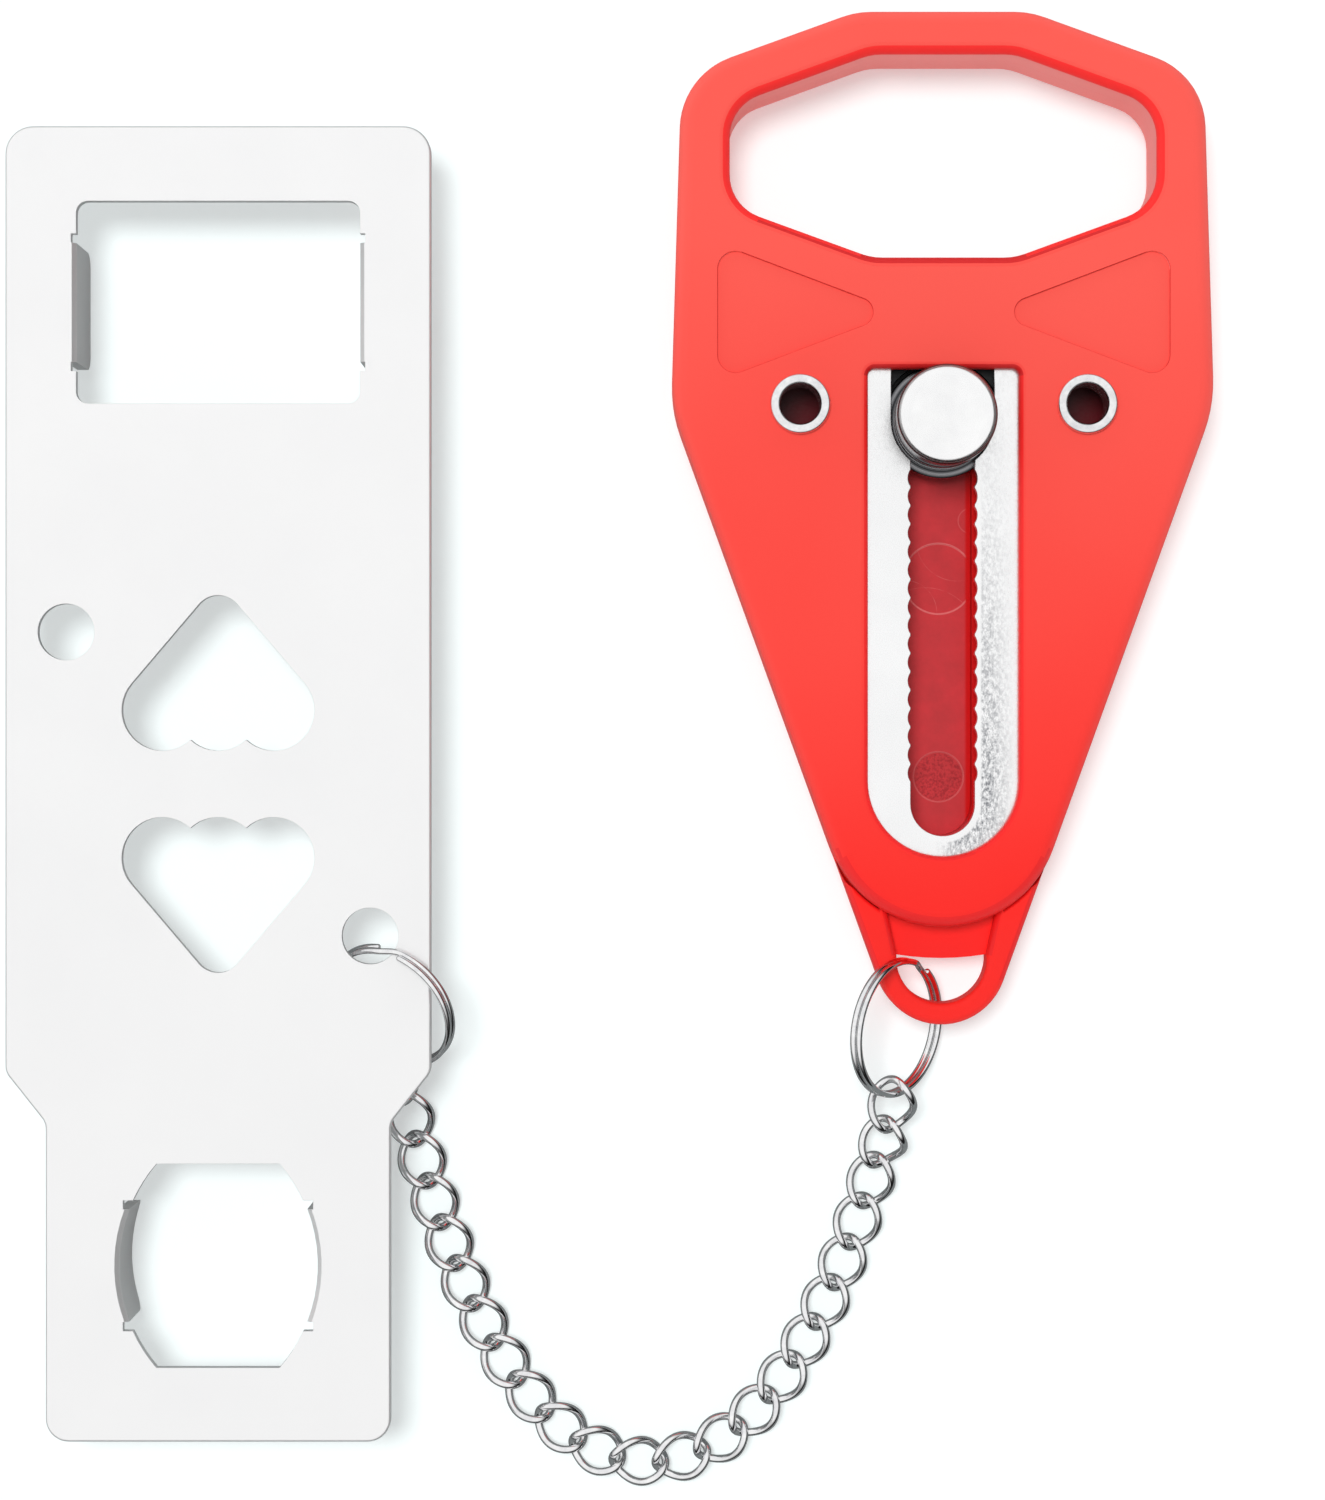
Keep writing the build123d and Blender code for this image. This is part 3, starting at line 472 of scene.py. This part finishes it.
def linkWire(twist):
    # An oval of wire whose plane leans one way at one end and back at the other:
    # x = a cos t, y = b sin t cos lean, z = -b sin t sin lean, with lean = twist cos t.
    t = np.linspace(0, 2 * np.pi, linkSet["steps"], endpoint=False)
    a = (linkSet["length"] - linkSet["wire"]) / 2
    b = (linkSet["width"] - linkSet["wire"]) / 2
    lean = np.radians(twist) * np.cos(t)
    path = np.stack([a * np.cos(t), b * np.sin(t) * np.cos(lean), -b * np.sin(t) * np.sin(lean)], -1)
    return wireRound(path, path, linkSet["wire"] / 2, linkSet["sides"], closed=True).reshape(-1, 3)


def middleOf(name):
    # Mean of a CAD node's points, in millimetres.
    points = np.zeros(len(nodes[name].data.vertices) * 3)
    nodes[name].data.vertices.foreach_get("co", points)
    return points.reshape(-1, 3).mean(0) / mm


def linkAxes(direction, roll):
    # Columns: along the link, across it and level before the roll, and the third axis.
    x = unit(direction)
    y = unit(np.cross([0, 0, 1], x))
    z = np.cross(x, y)
    c, s = np.cos(np.radians(roll)), np.sin(np.radians(roll))
    return np.stack([x, c * y + s * z, -s * y + c * z], 1)


linkMiddles = np.array([middleOf(name) for name in linkNames])
# a link points from the hinge behind it to the hinge in front of it
hinges = np.array([joints[f"{behind}_on_{ahead}"]["pos_m"]
                   for behind, ahead in zip(linkBodies, linkBodies[1:])]) / mm
stops = np.concatenate([linkMiddles[:1], hinges, linkMiddles[-1:]])
linkWays = stops[1:] - stops[:-1]

curbWire, plainWire = linkWire(linkSet["twist"]), linkWire(0)
linkFaces = gridFaces(linkSet["steps"], linkSet["sides"], closed=True)
for k, (name, body) in enumerate(zip(linkNames, linkBodies)):
    axes = linkAxes(linkWays[k], linkSet["endRoll"] if k == 0 else 0)
    points = (plainWire if k == 0 else curbWire) @ axes.T + linkMiddles[k]
    piece = putMesh(f"nickel_{body}", points, linkFaces, chainNickel, body)
    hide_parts(name)
print("chain made,", len(linkNames), "links")


ringSet = {
    "diameter": 19.0, "wire": 0.85, "gap": 0.10,   # outside, and between the two turns
    "jog": 22.0, "endClear": 1.2,                  # degrees
    "steps": 150, "sides": 16,
    "endRound": 5, "endLength": 0.35, "endLeast": 0.02,   # rows, millimetres, share of the radius
    "plate": {"heading": -43.4, "tilt": 42.0, "ends": 126.0},
    "handle": {"heading": 81.4, "tilt": 50.5, "ends": 343.0},
}


def ringWire(ends):
    # Two turns of one circle: height = -gap cos(pi step), where step runs from 0 to 1 over the jog.
    # The ends close with a small round: the radius shrinks as a quarter circle does.
    half = ringSet["jog"] / 2 + ringSet["endClear"]
    angle = np.linspace(half, 720 - half, 2 * ringSet["steps"])
    step = np.clip((angle - 360) / ringSet["jog"] + 0.5, 0, 1)
    radius = (ringSet["diameter"] - ringSet["wire"]) / 2
    turn = np.radians(angle + ends)
    height = -(ringSet["wire"] + ringSet["gap"]) / 2 * np.cos(np.pi * step)
    path = np.stack([radius * np.cos(turn), radius * np.sin(turn), height], -1)
    quarter = np.linspace(0, np.pi / 2, ringSet["endRound"] + 1)[:0:-1]
    first, last = unit(path[0] - path[1]), unit(path[-1] - path[-2])
    ahead = ringSet["endLength"] * np.sin(quarter)[:, None]
    path = np.concatenate([path[0] + ahead * first, path, path[-1] + ahead[::-1] * last])
    thick = np.concatenate([np.cos(quarter), np.ones(2 * ringSet["steps"]), np.cos(quarter[::-1])])
    thick = np.maximum(thick, ringSet["endLeast"])
    outward = path * [1, 1, 0]
    return wireRound(path, outward, ringSet["wire"] / 2 * thick, ringSet["sides"], closed=False)


def ringAxes(heading, tilt):
    # Columns: the level diameter, the raised diameter and the ring's own axis.
    h, t = np.radians(heading), np.radians(tilt)
    u = np.array([np.cos(h), np.sin(h), 0])
    v = np.array([-np.sin(h) * np.cos(t), np.cos(h) * np.cos(t), np.sin(t)])
    return np.stack([u, v, np.cross(u, v)], 1)


def makeRing(which, name, body):
    # The ring is turned into its place and centred in the box of its CAD node.
    facts = ringSet[which]
    rows = ringWire(facts["ends"])
    axes = ringAxes(facts["heading"], facts["tilt"])
    low, high = [np.array(corner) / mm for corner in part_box(name)]
    points = rows.reshape(-1, 3) @ axes.T
    points += (low + high) / 2 - (points.min(0) + points.max(0)) / 2
    count, sides = rows.shape[:2]
    faces = gridFaces(count, sides, closed=False)
    faces += [list(range(sides))[::-1], list(range((count - 1) * sides, count * sides))]
    piece = putMesh(f"{which}_ring_wire", points, faces, ringNickel, body)
    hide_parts(name)


makeRing("plate", "plate_split_ring", "plate_ring")
makeRing("handle", "handle_split_ring", "handle_ring")
print("split rings made")


def turned(name, profile, centre, sides, material, body):
    # A profile of (radius, height) turned about the vertical through centre, closed over its ends.
    profile = np.array(profile, float)
    turn = np.linspace(0, 2 * np.pi, sides, endpoint=False)
    ring = np.stack([np.cos(turn), np.sin(turn)], -1)
    xy = profile[:, None, :1] * ring[None] + np.array(centre)[None, None, :2]
    z = np.broadcast_to(profile[:, None, 1:], (len(profile), sides, 1))
    points = np.concatenate([xy, z], -1).reshape(-1, 3)
    closedProfile = profile[0, 0] > 0 and np.allclose(profile[0], profile[-1])
    rows = len(profile) - closedProfile
    faces = gridFaces(rows, sides, closedProfile)
    points = points[: rows * sides]
    if not closedProfile:
        faces += [list(range(sides))[::-1], list(range((rows - 1) * sides, rows * sides))]
    return putMesh(name, points, faces, material, body)


def rounded(profile, radius, steps):
    # Cuts each corner of an open profile with an arc: two tangent points and the points between them.
    # A point of the arc is the curve (1-s)^2 A + 2 s (1-s) corner + s^2 B.
    mostShare = 0.45   # of either side that a cut may take
    p = np.array(profile, float)
    made = [p[:1]]
    s = np.linspace(0, 1, steps + 1)[:, None]
    for i in range(1, len(p) - 1):
        before, after = p[i - 1] - p[i], p[i + 1] - p[i]
        cut = min(radius, np.linalg.norm(before) * mostShare, np.linalg.norm(after) * mostShare)
        a, b = p[i] + unit(before) * cut, p[i] + unit(after) * cut
        made.append((1 - s) ** 2 * a + 2 * s * (1 - s) * p[i] + s ** 2 * b)
    return np.concatenate(made + [p[-1:]])


studSet = {
    "pilot": 3.9, "foot": 7.7, "shank": 4.1, "flange": 6.6, "neck": 4.0, "head": 6.65,
    "heights": (3.8, 6.2, 8.2, 10.4, 12.4, 14.7, 18.5),   # pilot foot up to the head's top
    "headChamfer": 0.6, "dish": 0.12, "dishFrom": 1.3, "dishTo": 2.0,   # in from the head's rim
    "edge": 0.22, "edgeSteps": 4, "least": 0.02, "sides": 96,
}


def makeStud():
    # Profile up the stud: pilot, foot, shank, flange, neck and a head with a shallow dished face.
    low, high = [np.array(corner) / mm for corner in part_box("locking_stud")]
    z = np.array(studSet["heights"])
    z = low[2] + (z - z[0]) * (high[2] - low[2]) / (z[-1] - z[0])
    s = studSet
    profile = [
        (s["least"], z[0]), (s["pilot"], z[0]), (s["pilot"], z[1]), (s["foot"], z[1]), (s["foot"], z[2]),
        (s["shank"], z[2]), (s["shank"], z[3]), (s["flange"], z[3]), (s["flange"], z[4]),
        (s["neck"], z[4]), (s["neck"], z[5]), (s["head"], z[5]), (s["head"], z[6] - s["headChamfer"]),
        (s["head"] - s["headChamfer"], z[6]), (s["head"] - s["dishFrom"], z[6]),
        (s["head"] - s["dishTo"], z[6] - s["dish"]), (s["least"], z[6] - s["dish"]),
    ]
    centre = (low + high) / 2
    material = makeTurnedSteel(centre * mm)
    profile = rounded(profile, s["edge"], s["edgeSteps"])
    piece = turned("turned_stud", profile, centre, s["sides"], material, "stud")
    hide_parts("locking_stud")


rivetSet = {
    "bore": 2.68, "shank": 3.4, "roll": 4.05, "foot": 4.6,   # radii
    "footHeight": 0.8, "rollHeight": 1.0, "shellTop": 12.0, "sunk": 0.02,
    "flat": 0.55, "arcPoints": 25, "sides": 64,
}


def makeRivets():
    # Profile round the tube: out along the foot flange, up the shank, over the roll and down the bore.
    r = rivetSet
    for side in ("left", "right"):
        low, high = [np.array(corner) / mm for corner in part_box(f"rivet_{side}")]
        arc = np.linspace(0, np.pi, r["arcPoints"])
        middle, half = (r["roll"] + r["bore"]) / 2, (r["roll"] - r["bore"]) / 2
        # a flattened half round: its cosine and sine are raised to the power flat
        cosine, sine = np.cos(arc), np.maximum(np.sin(arc), 0)
        rollArc = list(zip(middle + half * np.sign(cosine) * abs(cosine) ** r["flat"],
                           r["shellTop"] + r["rollHeight"] * sine ** r["flat"]))
        footTop = low[2] + r["footHeight"]
        profile = [(r["bore"], low[2]), (r["foot"], low[2]), (r["foot"], footTop), (r["shank"], footTop),
                   (r["shank"], r["shellTop"] - r["sunk"])] + rollArc + [(r["bore"], low[2])]
        piece = turned(f"rolled_rivet_{side}", profile, (low + high) / 2, r["sides"], rivetSteel,
                       "lock_body")
        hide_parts(f"rivet_{side}")


makeStud()
makeRivets()
print("stud and rivets made")


# each round is (height where it starts, height where it ends, radius), from the wall to the face
softSet = {
    "strike_plate": {"edge": 0.12, "body": "plate", "name": "pressed_plate", "slot": "plate_steel",
                     "look": plateSteel, "rounds": [(11.1, 11.5, 0.4)]},
    "track_plate": {"edge": 0.10, "body": "lock_body", "name": "toothed_track", "slot": "track_steel",
                    "look": trackSteel, "rounds": []},
    "front_housing": {"edge": 0.14, "body": "lock_body", "name": "front_shell", "slot": "red_plastic",
                      "look": redPlastic, "rounds": [(10.0, 12.0, 2.0), (10.6, 12.0, 1.4)]},
    "rear_housing": {"edge": 0.14, "body": "lock_body", "name": "rear_shell", "slot": "red_plastic",
                     "look": redPlastic,
                     "rounds": [(2.0, 0.0, 2.0), (1.4, 0.0, 1.4), (7.8, 8.8, 1.0), (4.2, 3.2, 1.0)]},
}
# angles in degrees, slacks in millimetres, mergeWithin and cutWithin in metres; a face is level or
# upright by how far its normal points up
shapeSet = {
    "mergeWithin": 1e-6, "cutWithin": 1e-7, "flatWithin": 1.0, "sharpFrom": 38.0,
    "roundSteps": 5, "slopeSlack": 0.03, "heightSlack": 0.01,
    "lipSteps": 4, "level": 0.99, "upright": 0.1, "lipSlack": 0.02,
    "edgeSteps": 3, "evenWeight": 60,
}
# edges of openings that get a round of their own: (height, radius, from x, to x, from y, to y), the
# places in millimetres from the widest line's middle
lipSet = {
    "front_housing": [(12.0, 0.9, -10.3, 10.3, -61.0, 5.0), (12.0, 0.28, -31.0, 31.0, 2.5, 22.5)],
    "rear_housing": [(8.8, 0.8, -20.0, 20.0, -80.0, -52.0)],
}
gripZone = (-30.3, 30.3, 18.2, 48.6)
# zones whose leaning faces are painted a deeper red as shade: from x, to x, from y, to y, whether walls
# count, strength
paintedShadeZones = {
    "front_housing": [(-11.4, 11.4, -62.0, 5.9, False, 1.0), (*gripZone, False, 1.0),
                      (-30.6, 30.6, 2.8, 22.2, True, 1.7), (-14.0, 14.0, -95.0, -60.0, False, 1.25)],
    "rear_housing": [(*gripZone, False, 1.0), (-12.0, 12.0, -73.0, -55.0, True, 1.3)],
}
# by how far a face's normal points up: level from levelFrom, a wall to wallTo, and steep sets how soon a
# leaning face gets its painted shade in full
paintedShadeLean = {"levelFrom": 0.995, "wallTo": 0.02, "steep": 10.0}
# the tail's sunk floor, in millimetres, and its share of the deeper red, painted as shade
tailFloorShade = {"height": 6.5, "heightSlack": 0.05, "below": -56.0, "share": 0.5}


def roundChamfers(work, start, end, radius):
    # Turns the 45 degree chamfers between two heights (mm) into quarter rounds. They are cut level
    # by level, and each cut is pushed out from the chamfer's line, inset = height, to the circle's,
    # inset = radius - sqrt(radius^2 - height^2), with heights measured from where the round starts.
    facts = shapeSet
    low, high = min(start, end) * mm, max(start, end) * mm
    slack = facts["heightSlack"] * mm
    found = set()
    for face in work.faces:
        heights = [vert.co.z for vert in face.verts]
        sloping = abs(abs(face.normal.z) - math.sqrt(0.5)) < facts["slopeSlack"]
        if sloping and face.normal.z * (end - start) > 0:
            if min(heights) > low - slack and max(heights) < high + slack:
                found.add(face)
    # a chamfer belongs here if its faces together run from one height to the other
    faces = set()
    while found:
        group, front = set(), [found.pop()]
        while front:
            face = front.pop()
            group.add(face)
            near = {other for side in face.edges for other in side.link_faces} & found
            found -= near
            front += near
        heights = [vert.co.z for face in group for vert in face.verts]
        if max(heights) - min(heights) > high - low - 2 * slack:
            faces |= group
    if not faces:
        return
    for step in range(1, facts["roundSteps"]):
        # equal turns of the circle: the height above the start is radius sin(angle)
        angle = math.pi / 2 * step / facts["roundSteps"]
        level = (start + (end - start) * math.sin(angle)) * mm
        edges = {edge for face in faces for edge in face.edges}
        verts = {vert for face in faces for vert in face.verts}
        parts = list(faces) + list(edges) + list(verts)
        cut = bmesh.ops.bisect_plane(work, geom=parts, dist=facts["cutWithin"], plane_co=(0, 0, level),
                                     plane_no=(0, 0, 1))
        faces = {g for g in cut["geom"] if isinstance(g, bmesh.types.BMFace)}
    work.normal_update()
    moved = {}
    for face in faces:
        flat = face.normal.xy.normalized()
        for vert in face.verts:
            moved.setdefault(vert, []).append(flat)
    for vert, ways in moved.items():
        height = abs(vert.co.z / mm - start)
        if height < facts["heightSlack"] or height > radius - facts["heightSlack"]:
            continue
        way = sum(ways[1:], ways[0].copy()).normalized()
        push = (height - (radius - math.sqrt(radius ** 2 - height ** 2))) * mm
        vert.co.x += way.x * push
        vert.co.y += way.y * push
    work.normal_update()


def roundLips(work, node):
    # Rounds the edges between a level face and a wall inside each box of lipSet.
    facts = shapeSet
    for height, radius, x0, x1, y0, y1 in lipSet.get(node, []):
        chosen = []
        for edge in work.edges:
            if len(edge.link_faces) != 2 or not edge.is_convex:
                continue
            level, wall = sorted((abs(face.normal.z) for face in edge.link_faces), reverse=True)
            offLevel = max(abs(vert.co.z / mm - height) for vert in edge.verts)
            if level < facts["level"] or wall > facts["upright"] or offLevel > facts["lipSlack"]:
                continue
            x, y = [(sum(vert.co[k] for vert in edge.verts) / 2 - lockMiddle[k]) / mm for k in (0, 1)]
            if x0 < x < x1 and y0 < y < y1:
                chosen.append(edge)
        bmesh.ops.bevel(work, geom=chosen, offset=radius * mm, segments=facts["lipSteps"], profile=0.5,
                        affect="EDGES", clamp_overlap=True)
        work.normal_update()


def markPaintedShade(work, node):
    # A face attribute of painted shade: how far a face leans, from 0 level to 1 leaning, times its zone's
    # strength. The tail's sunk floor gets a share of painted shade too. A face attribute of painted glow: 1
    # on the walls of the grip's hole, painted lighter as if lit from the floor.
    shadeLayer = work.faces.layers.float.new("paintedShade")
    walls = work.faces.layers.float.new("paintedFloorGlow")
    gripX0, gripX1, gripY0, gripY1 = gripZone
    for face in work.faces:
        middle = face.calc_center_median()
        x, y, z = (middle.x - lockMiddle[0]) / mm, (middle.y - lockMiddle[1]) / mm, middle.z / mm
        up = abs(face.normal.z)
        isWall = up <= paintedShadeLean["wallTo"]
        # the grip's outer corners reach into its zone, but face away from its middle
        inGrip = gripX0 < x < gripX1 and gripY0 < y < gripY1
        if inGrip and face.normal.x * x + face.normal.y * (y - (gripY0 + gripY1) / 2) > 0:
            continue
        lean = min(1.0, (1 - up) * paintedShadeLean["steep"]) if up < paintedShadeLean["levelFrom"] else 0.0
        for x0, x1, y0, y1, wallsCount, strength in paintedShadeZones.get(node, []):
            if x0 < x < x1 and y0 < y < y1 and (wallsCount or not isWall):
                face[shadeLayer] = max(face[shadeLayer], lean * strength)
        # the tail's sunk floor gets painted shade
        onFloor = up > shapeSet["level"] and abs(z - tailFloorShade["height"]) < tailFloorShade["heightSlack"]
        if onFloor and y < tailFloorShade["below"]:
            face[shadeLayer] = tailFloorShade["share"]
        # the grip's hole walls get the painted floor glow
        face[walls] = isWall and inGrip


def softened(node):
    # The CAD node's own shape with its edges rounded: points merged, flat facets joined, chamfers
    # turned into rounds and the edges left sharp eased a little.
    facts = softSet[node]
    mesh = nodes[node].data.copy()
    mesh.name = facts["name"]
    work = bmesh.new()
    work.from_mesh(mesh)
    bmesh.ops.remove_doubles(work, verts=work.verts, dist=shapeSet["mergeWithin"])
    bmesh.ops.dissolve_limit(work, angle_limit=math.radians(shapeSet["flatWithin"]), verts=work.verts,
                             edges=work.edges)
    work.normal_update()
    for start, end, radius in facts["rounds"]:
        roundChamfers(work, start, end, radius)
    roundLips(work, node)
    markPaintedShade(work, node)
    work.to_mesh(mesh)
    work.free()
    # the solid's own normals no longer fit the changed faces
    if "custom_normal" in mesh.attributes:
        mesh.attributes.remove(mesh.attributes["custom_normal"])
    mesh.materials.clear()
    mesh.materials.append(facts["look"])
    made = bpy.data.objects.new(facts["name"], mesh)
    bpy.context.scene.collection.objects.link(made)
    sharpFrom = math.radians(shapeSet["sharpFrom"])
    bevel = made.modifiers.new("edge", "BEVEL")
    bevel.width, bevel.segments = facts["edge"] * mm, shapeSet["edgeSteps"]
    bevel.limit_method, bevel.angle_limit = "ANGLE", sharpFrom
    bevel.use_clamp_overlap = True
    mesh.polygons.foreach_set("use_smooth", np.ones(len(mesh.polygons), bool))
    mesh.set_sharp_from_angle(angle=sharpFrom)
    even = made.modifiers.new("even", "WEIGHTED_NORMAL")
    even.mode, even.weight, even.keep_sharp = "FACE_AREA", shapeSet["evenWeight"], True
    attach(made, facts["body"])
    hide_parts(node)


for node in softSet:
    softened(node)
print("plate, shells and track made")


# the camera's place in millimetres; clip, from and to, in metres
view = {"aim": (6.75, 0.45), "height": 461.0, "lens": 80.6, "sensor": 36.0, "clip": (0.01, 10)}
studio = {
    "sky": 0.35,             # brightness of the room's upper part
    "walls": 1.2,            # brightness of its walls, up to wallTop (height of a unit direction)
    "wallTop": (0.30, 0.42),
    "key": 0.60,             # share of the light on a level white face that the key lamp gives
    "keySoft": 20.0,         # degrees across
    "keyHeight": 76.0,       # degrees above the floor
    "keyHeading": 132.0,     # degrees round from +X
    "floorTint": (0.90, 1.0, 1.0),   # takes the red body's glow out of its shadow
    "floorBase": 0.69,       # the floor's colour
    "floorRoughness": 0.9,
    "floorOwn": 0.385,       # brightness that shadows leave
    "bounceOwn": 0.55,       # the same, as it lights the pieces from below
    "glossBase": 0.17,       # both, as polished metal sees them
    "glossOwn": 0.05,
    "darkSide": -38.0,       # degrees round from +X, the side where the room looks darkest to polished metal
    "darkLean": 0.34,
    # brightness that polished metal sees, by height
    "glossRoom": [(0.0, 0.01), (0.12, 0.02), (0.26, 0.16), (0.40, 0.62), (0.56, 0.95), (0.86, 1.0)],
    "floorSize": 4000.0,     # millimetres
}


def makeFloor():
    # A level square, white. Part of its white is its own, so the shadows on it stay light. Light that
    # goes on to the pieces sees it brighter, and polished metal sees it darker.
    half = studio["floorSize"] / 2
    corners = np.array([(-half, -half, 0), (half, -half, 0), (half, half, 0), (-half, half, 0)])
    material, tree, shader = startMaterial("paleFloor")
    shader.inputs["Roughness"].default_value = studio["floorRoughness"]
    shader.inputs["Specular IOR Level"].default_value = 0.0
    shader.inputs["Emission Color"].default_value = (1, 1, 1, 1)
    path = addNode(tree, "ShaderNodeLightPath")
    tint = studio["floorTint"]
    base = mixOf(tree, path.outputs["Is Glossy Ray"], [studio["floorBase"] * share for share in tint],
                 [studio["glossBase"] * share for share in tint])
    tree.links.new(base, shader.inputs["Base Color"])
    own = rangeOf(tree, path.outputs["Is Diffuse Ray"], studio["floorOwn"], studio["bounceOwn"], 0, 1)
    glossy = addNode(tree, "ShaderNodeMix", data_type="FLOAT")
    tree.links.new(path.outputs["Is Glossy Ray"], glossy.inputs["Factor"])
    tree.links.new(own, glossy.inputs["A"])
    glossy.inputs["B"].default_value = studio["glossOwn"]
    tree.links.new(glossy.outputs["Result"], shader.inputs["Emission Strength"])
    mesh = bpy.data.meshes.new("floor")
    mesh.from_pydata((corners * mm).tolist(), [], [(0, 1, 2, 3)])
    mesh.materials.append(material)
    floor = bpy.data.objects.new("floor", mesh)
    bpy.context.scene.collection.objects.link(floor)


def makeRoom():
    # A white room behind everything. Matt faces are lit by its walls and top, and polished metal sees
    # it dark low down and bright overhead.
    world = bpy.data.worlds.new("room")
    bpy.context.scene.world = world
    world.use_nodes = True
    tree = world.node_tree
    ground = tree.nodes["Background"]
    place = addNode(tree, "ShaderNodeTexCoord")
    split = addNode(tree, "ShaderNodeSeparateXYZ")
    tree.links.new(place.outputs["Generated"], split.inputs["Vector"])
    side = math.radians(studio["darkSide"])
    leanX = mathOf(tree, "MULTIPLY", split.outputs["X"], -studio["darkLean"] * math.cos(side))
    leanY = mathOf(tree, "MULTIPLY_ADD", split.outputs["Y"], -studio["darkLean"] * math.sin(side), leanX)
    lift = mathOf(tree, "ADD", split.outputs["Z"], leanY)
    ramp = addNode(tree, "ShaderNodeValToRGB")
    while len(ramp.color_ramp.elements) < len(studio["glossRoom"]):
        ramp.color_ramp.elements.new(0.5)
    for element, (at, value) in zip(ramp.color_ramp.elements, studio["glossRoom"]):
        element.position, element.color = at, (value, value, value, 1)
    tree.links.new(lift, ramp.inputs["Fac"])
    path = addNode(tree, "ShaderNodeLightPath")
    pick = addNode(tree, "ShaderNodeMix", data_type="RGBA")
    tree.links.new(path.outputs["Is Glossy Ray"], pick.inputs["Factor"])
    soft = rangeOf(tree, split.outputs["Z"], studio["walls"], studio["sky"], *studio["wallTop"])
    tree.links.new(soft, pick.inputs["A"])
    tree.links.new(ramp.outputs["Color"], pick.inputs["B"])
    eye = addNode(tree, "ShaderNodeMix", data_type="RGBA")
    tree.links.new(path.outputs["Is Camera Ray"], eye.inputs["Factor"])
    tree.links.new(pick.outputs["Result"], eye.inputs["A"])
    eye.inputs["B"].default_value = (1, 1, 1, 1)
    tree.links.new(eye.outputs["Result"], ground.inputs["Color"])
    ground.inputs["Strength"].default_value = 1.0


def makeKey():
    # A wide soft lamp from the upper left; its strength makes a level white face gain the key's share.
    lamp = bpy.data.lights.new("key", "SUN")
    lamp.angle = math.radians(studio["keySoft"])
    lamp.energy = studio["key"] * math.pi / math.sin(math.radians(studio["keyHeight"]))
    key = bpy.data.objects.new("key", lamp)
    key.visible_glossy = False
    bpy.context.scene.collection.objects.link(key)
    key.rotation_euler = (math.radians(90 - studio["keyHeight"]), 0, math.radians(studio["keyHeading"] + 90))


def makeCamera():
    # Straight down, over the middle of the photographed frame.
    lens = bpy.data.cameras.new("camera")
    lens.sensor_fit = "AUTO"
    lens.sensor_height = lens.sensor_width = view["sensor"]
    lens.lens = view["lens"]
    lens.clip_start, lens.clip_end = view["clip"]
    camera = bpy.data.objects.new("camera", lens)
    bpy.context.scene.collection.objects.link(camera)
    camera.location = (view["aim"][0] * mm, view["aim"][1] * mm, view["height"] * mm)
    bpy.context.scene.camera = camera


makeFloor()
makeRoom()
makeKey()
makeCamera()
bpy.context.scene.view_settings.view_transform = "Standard"
print("stage made")
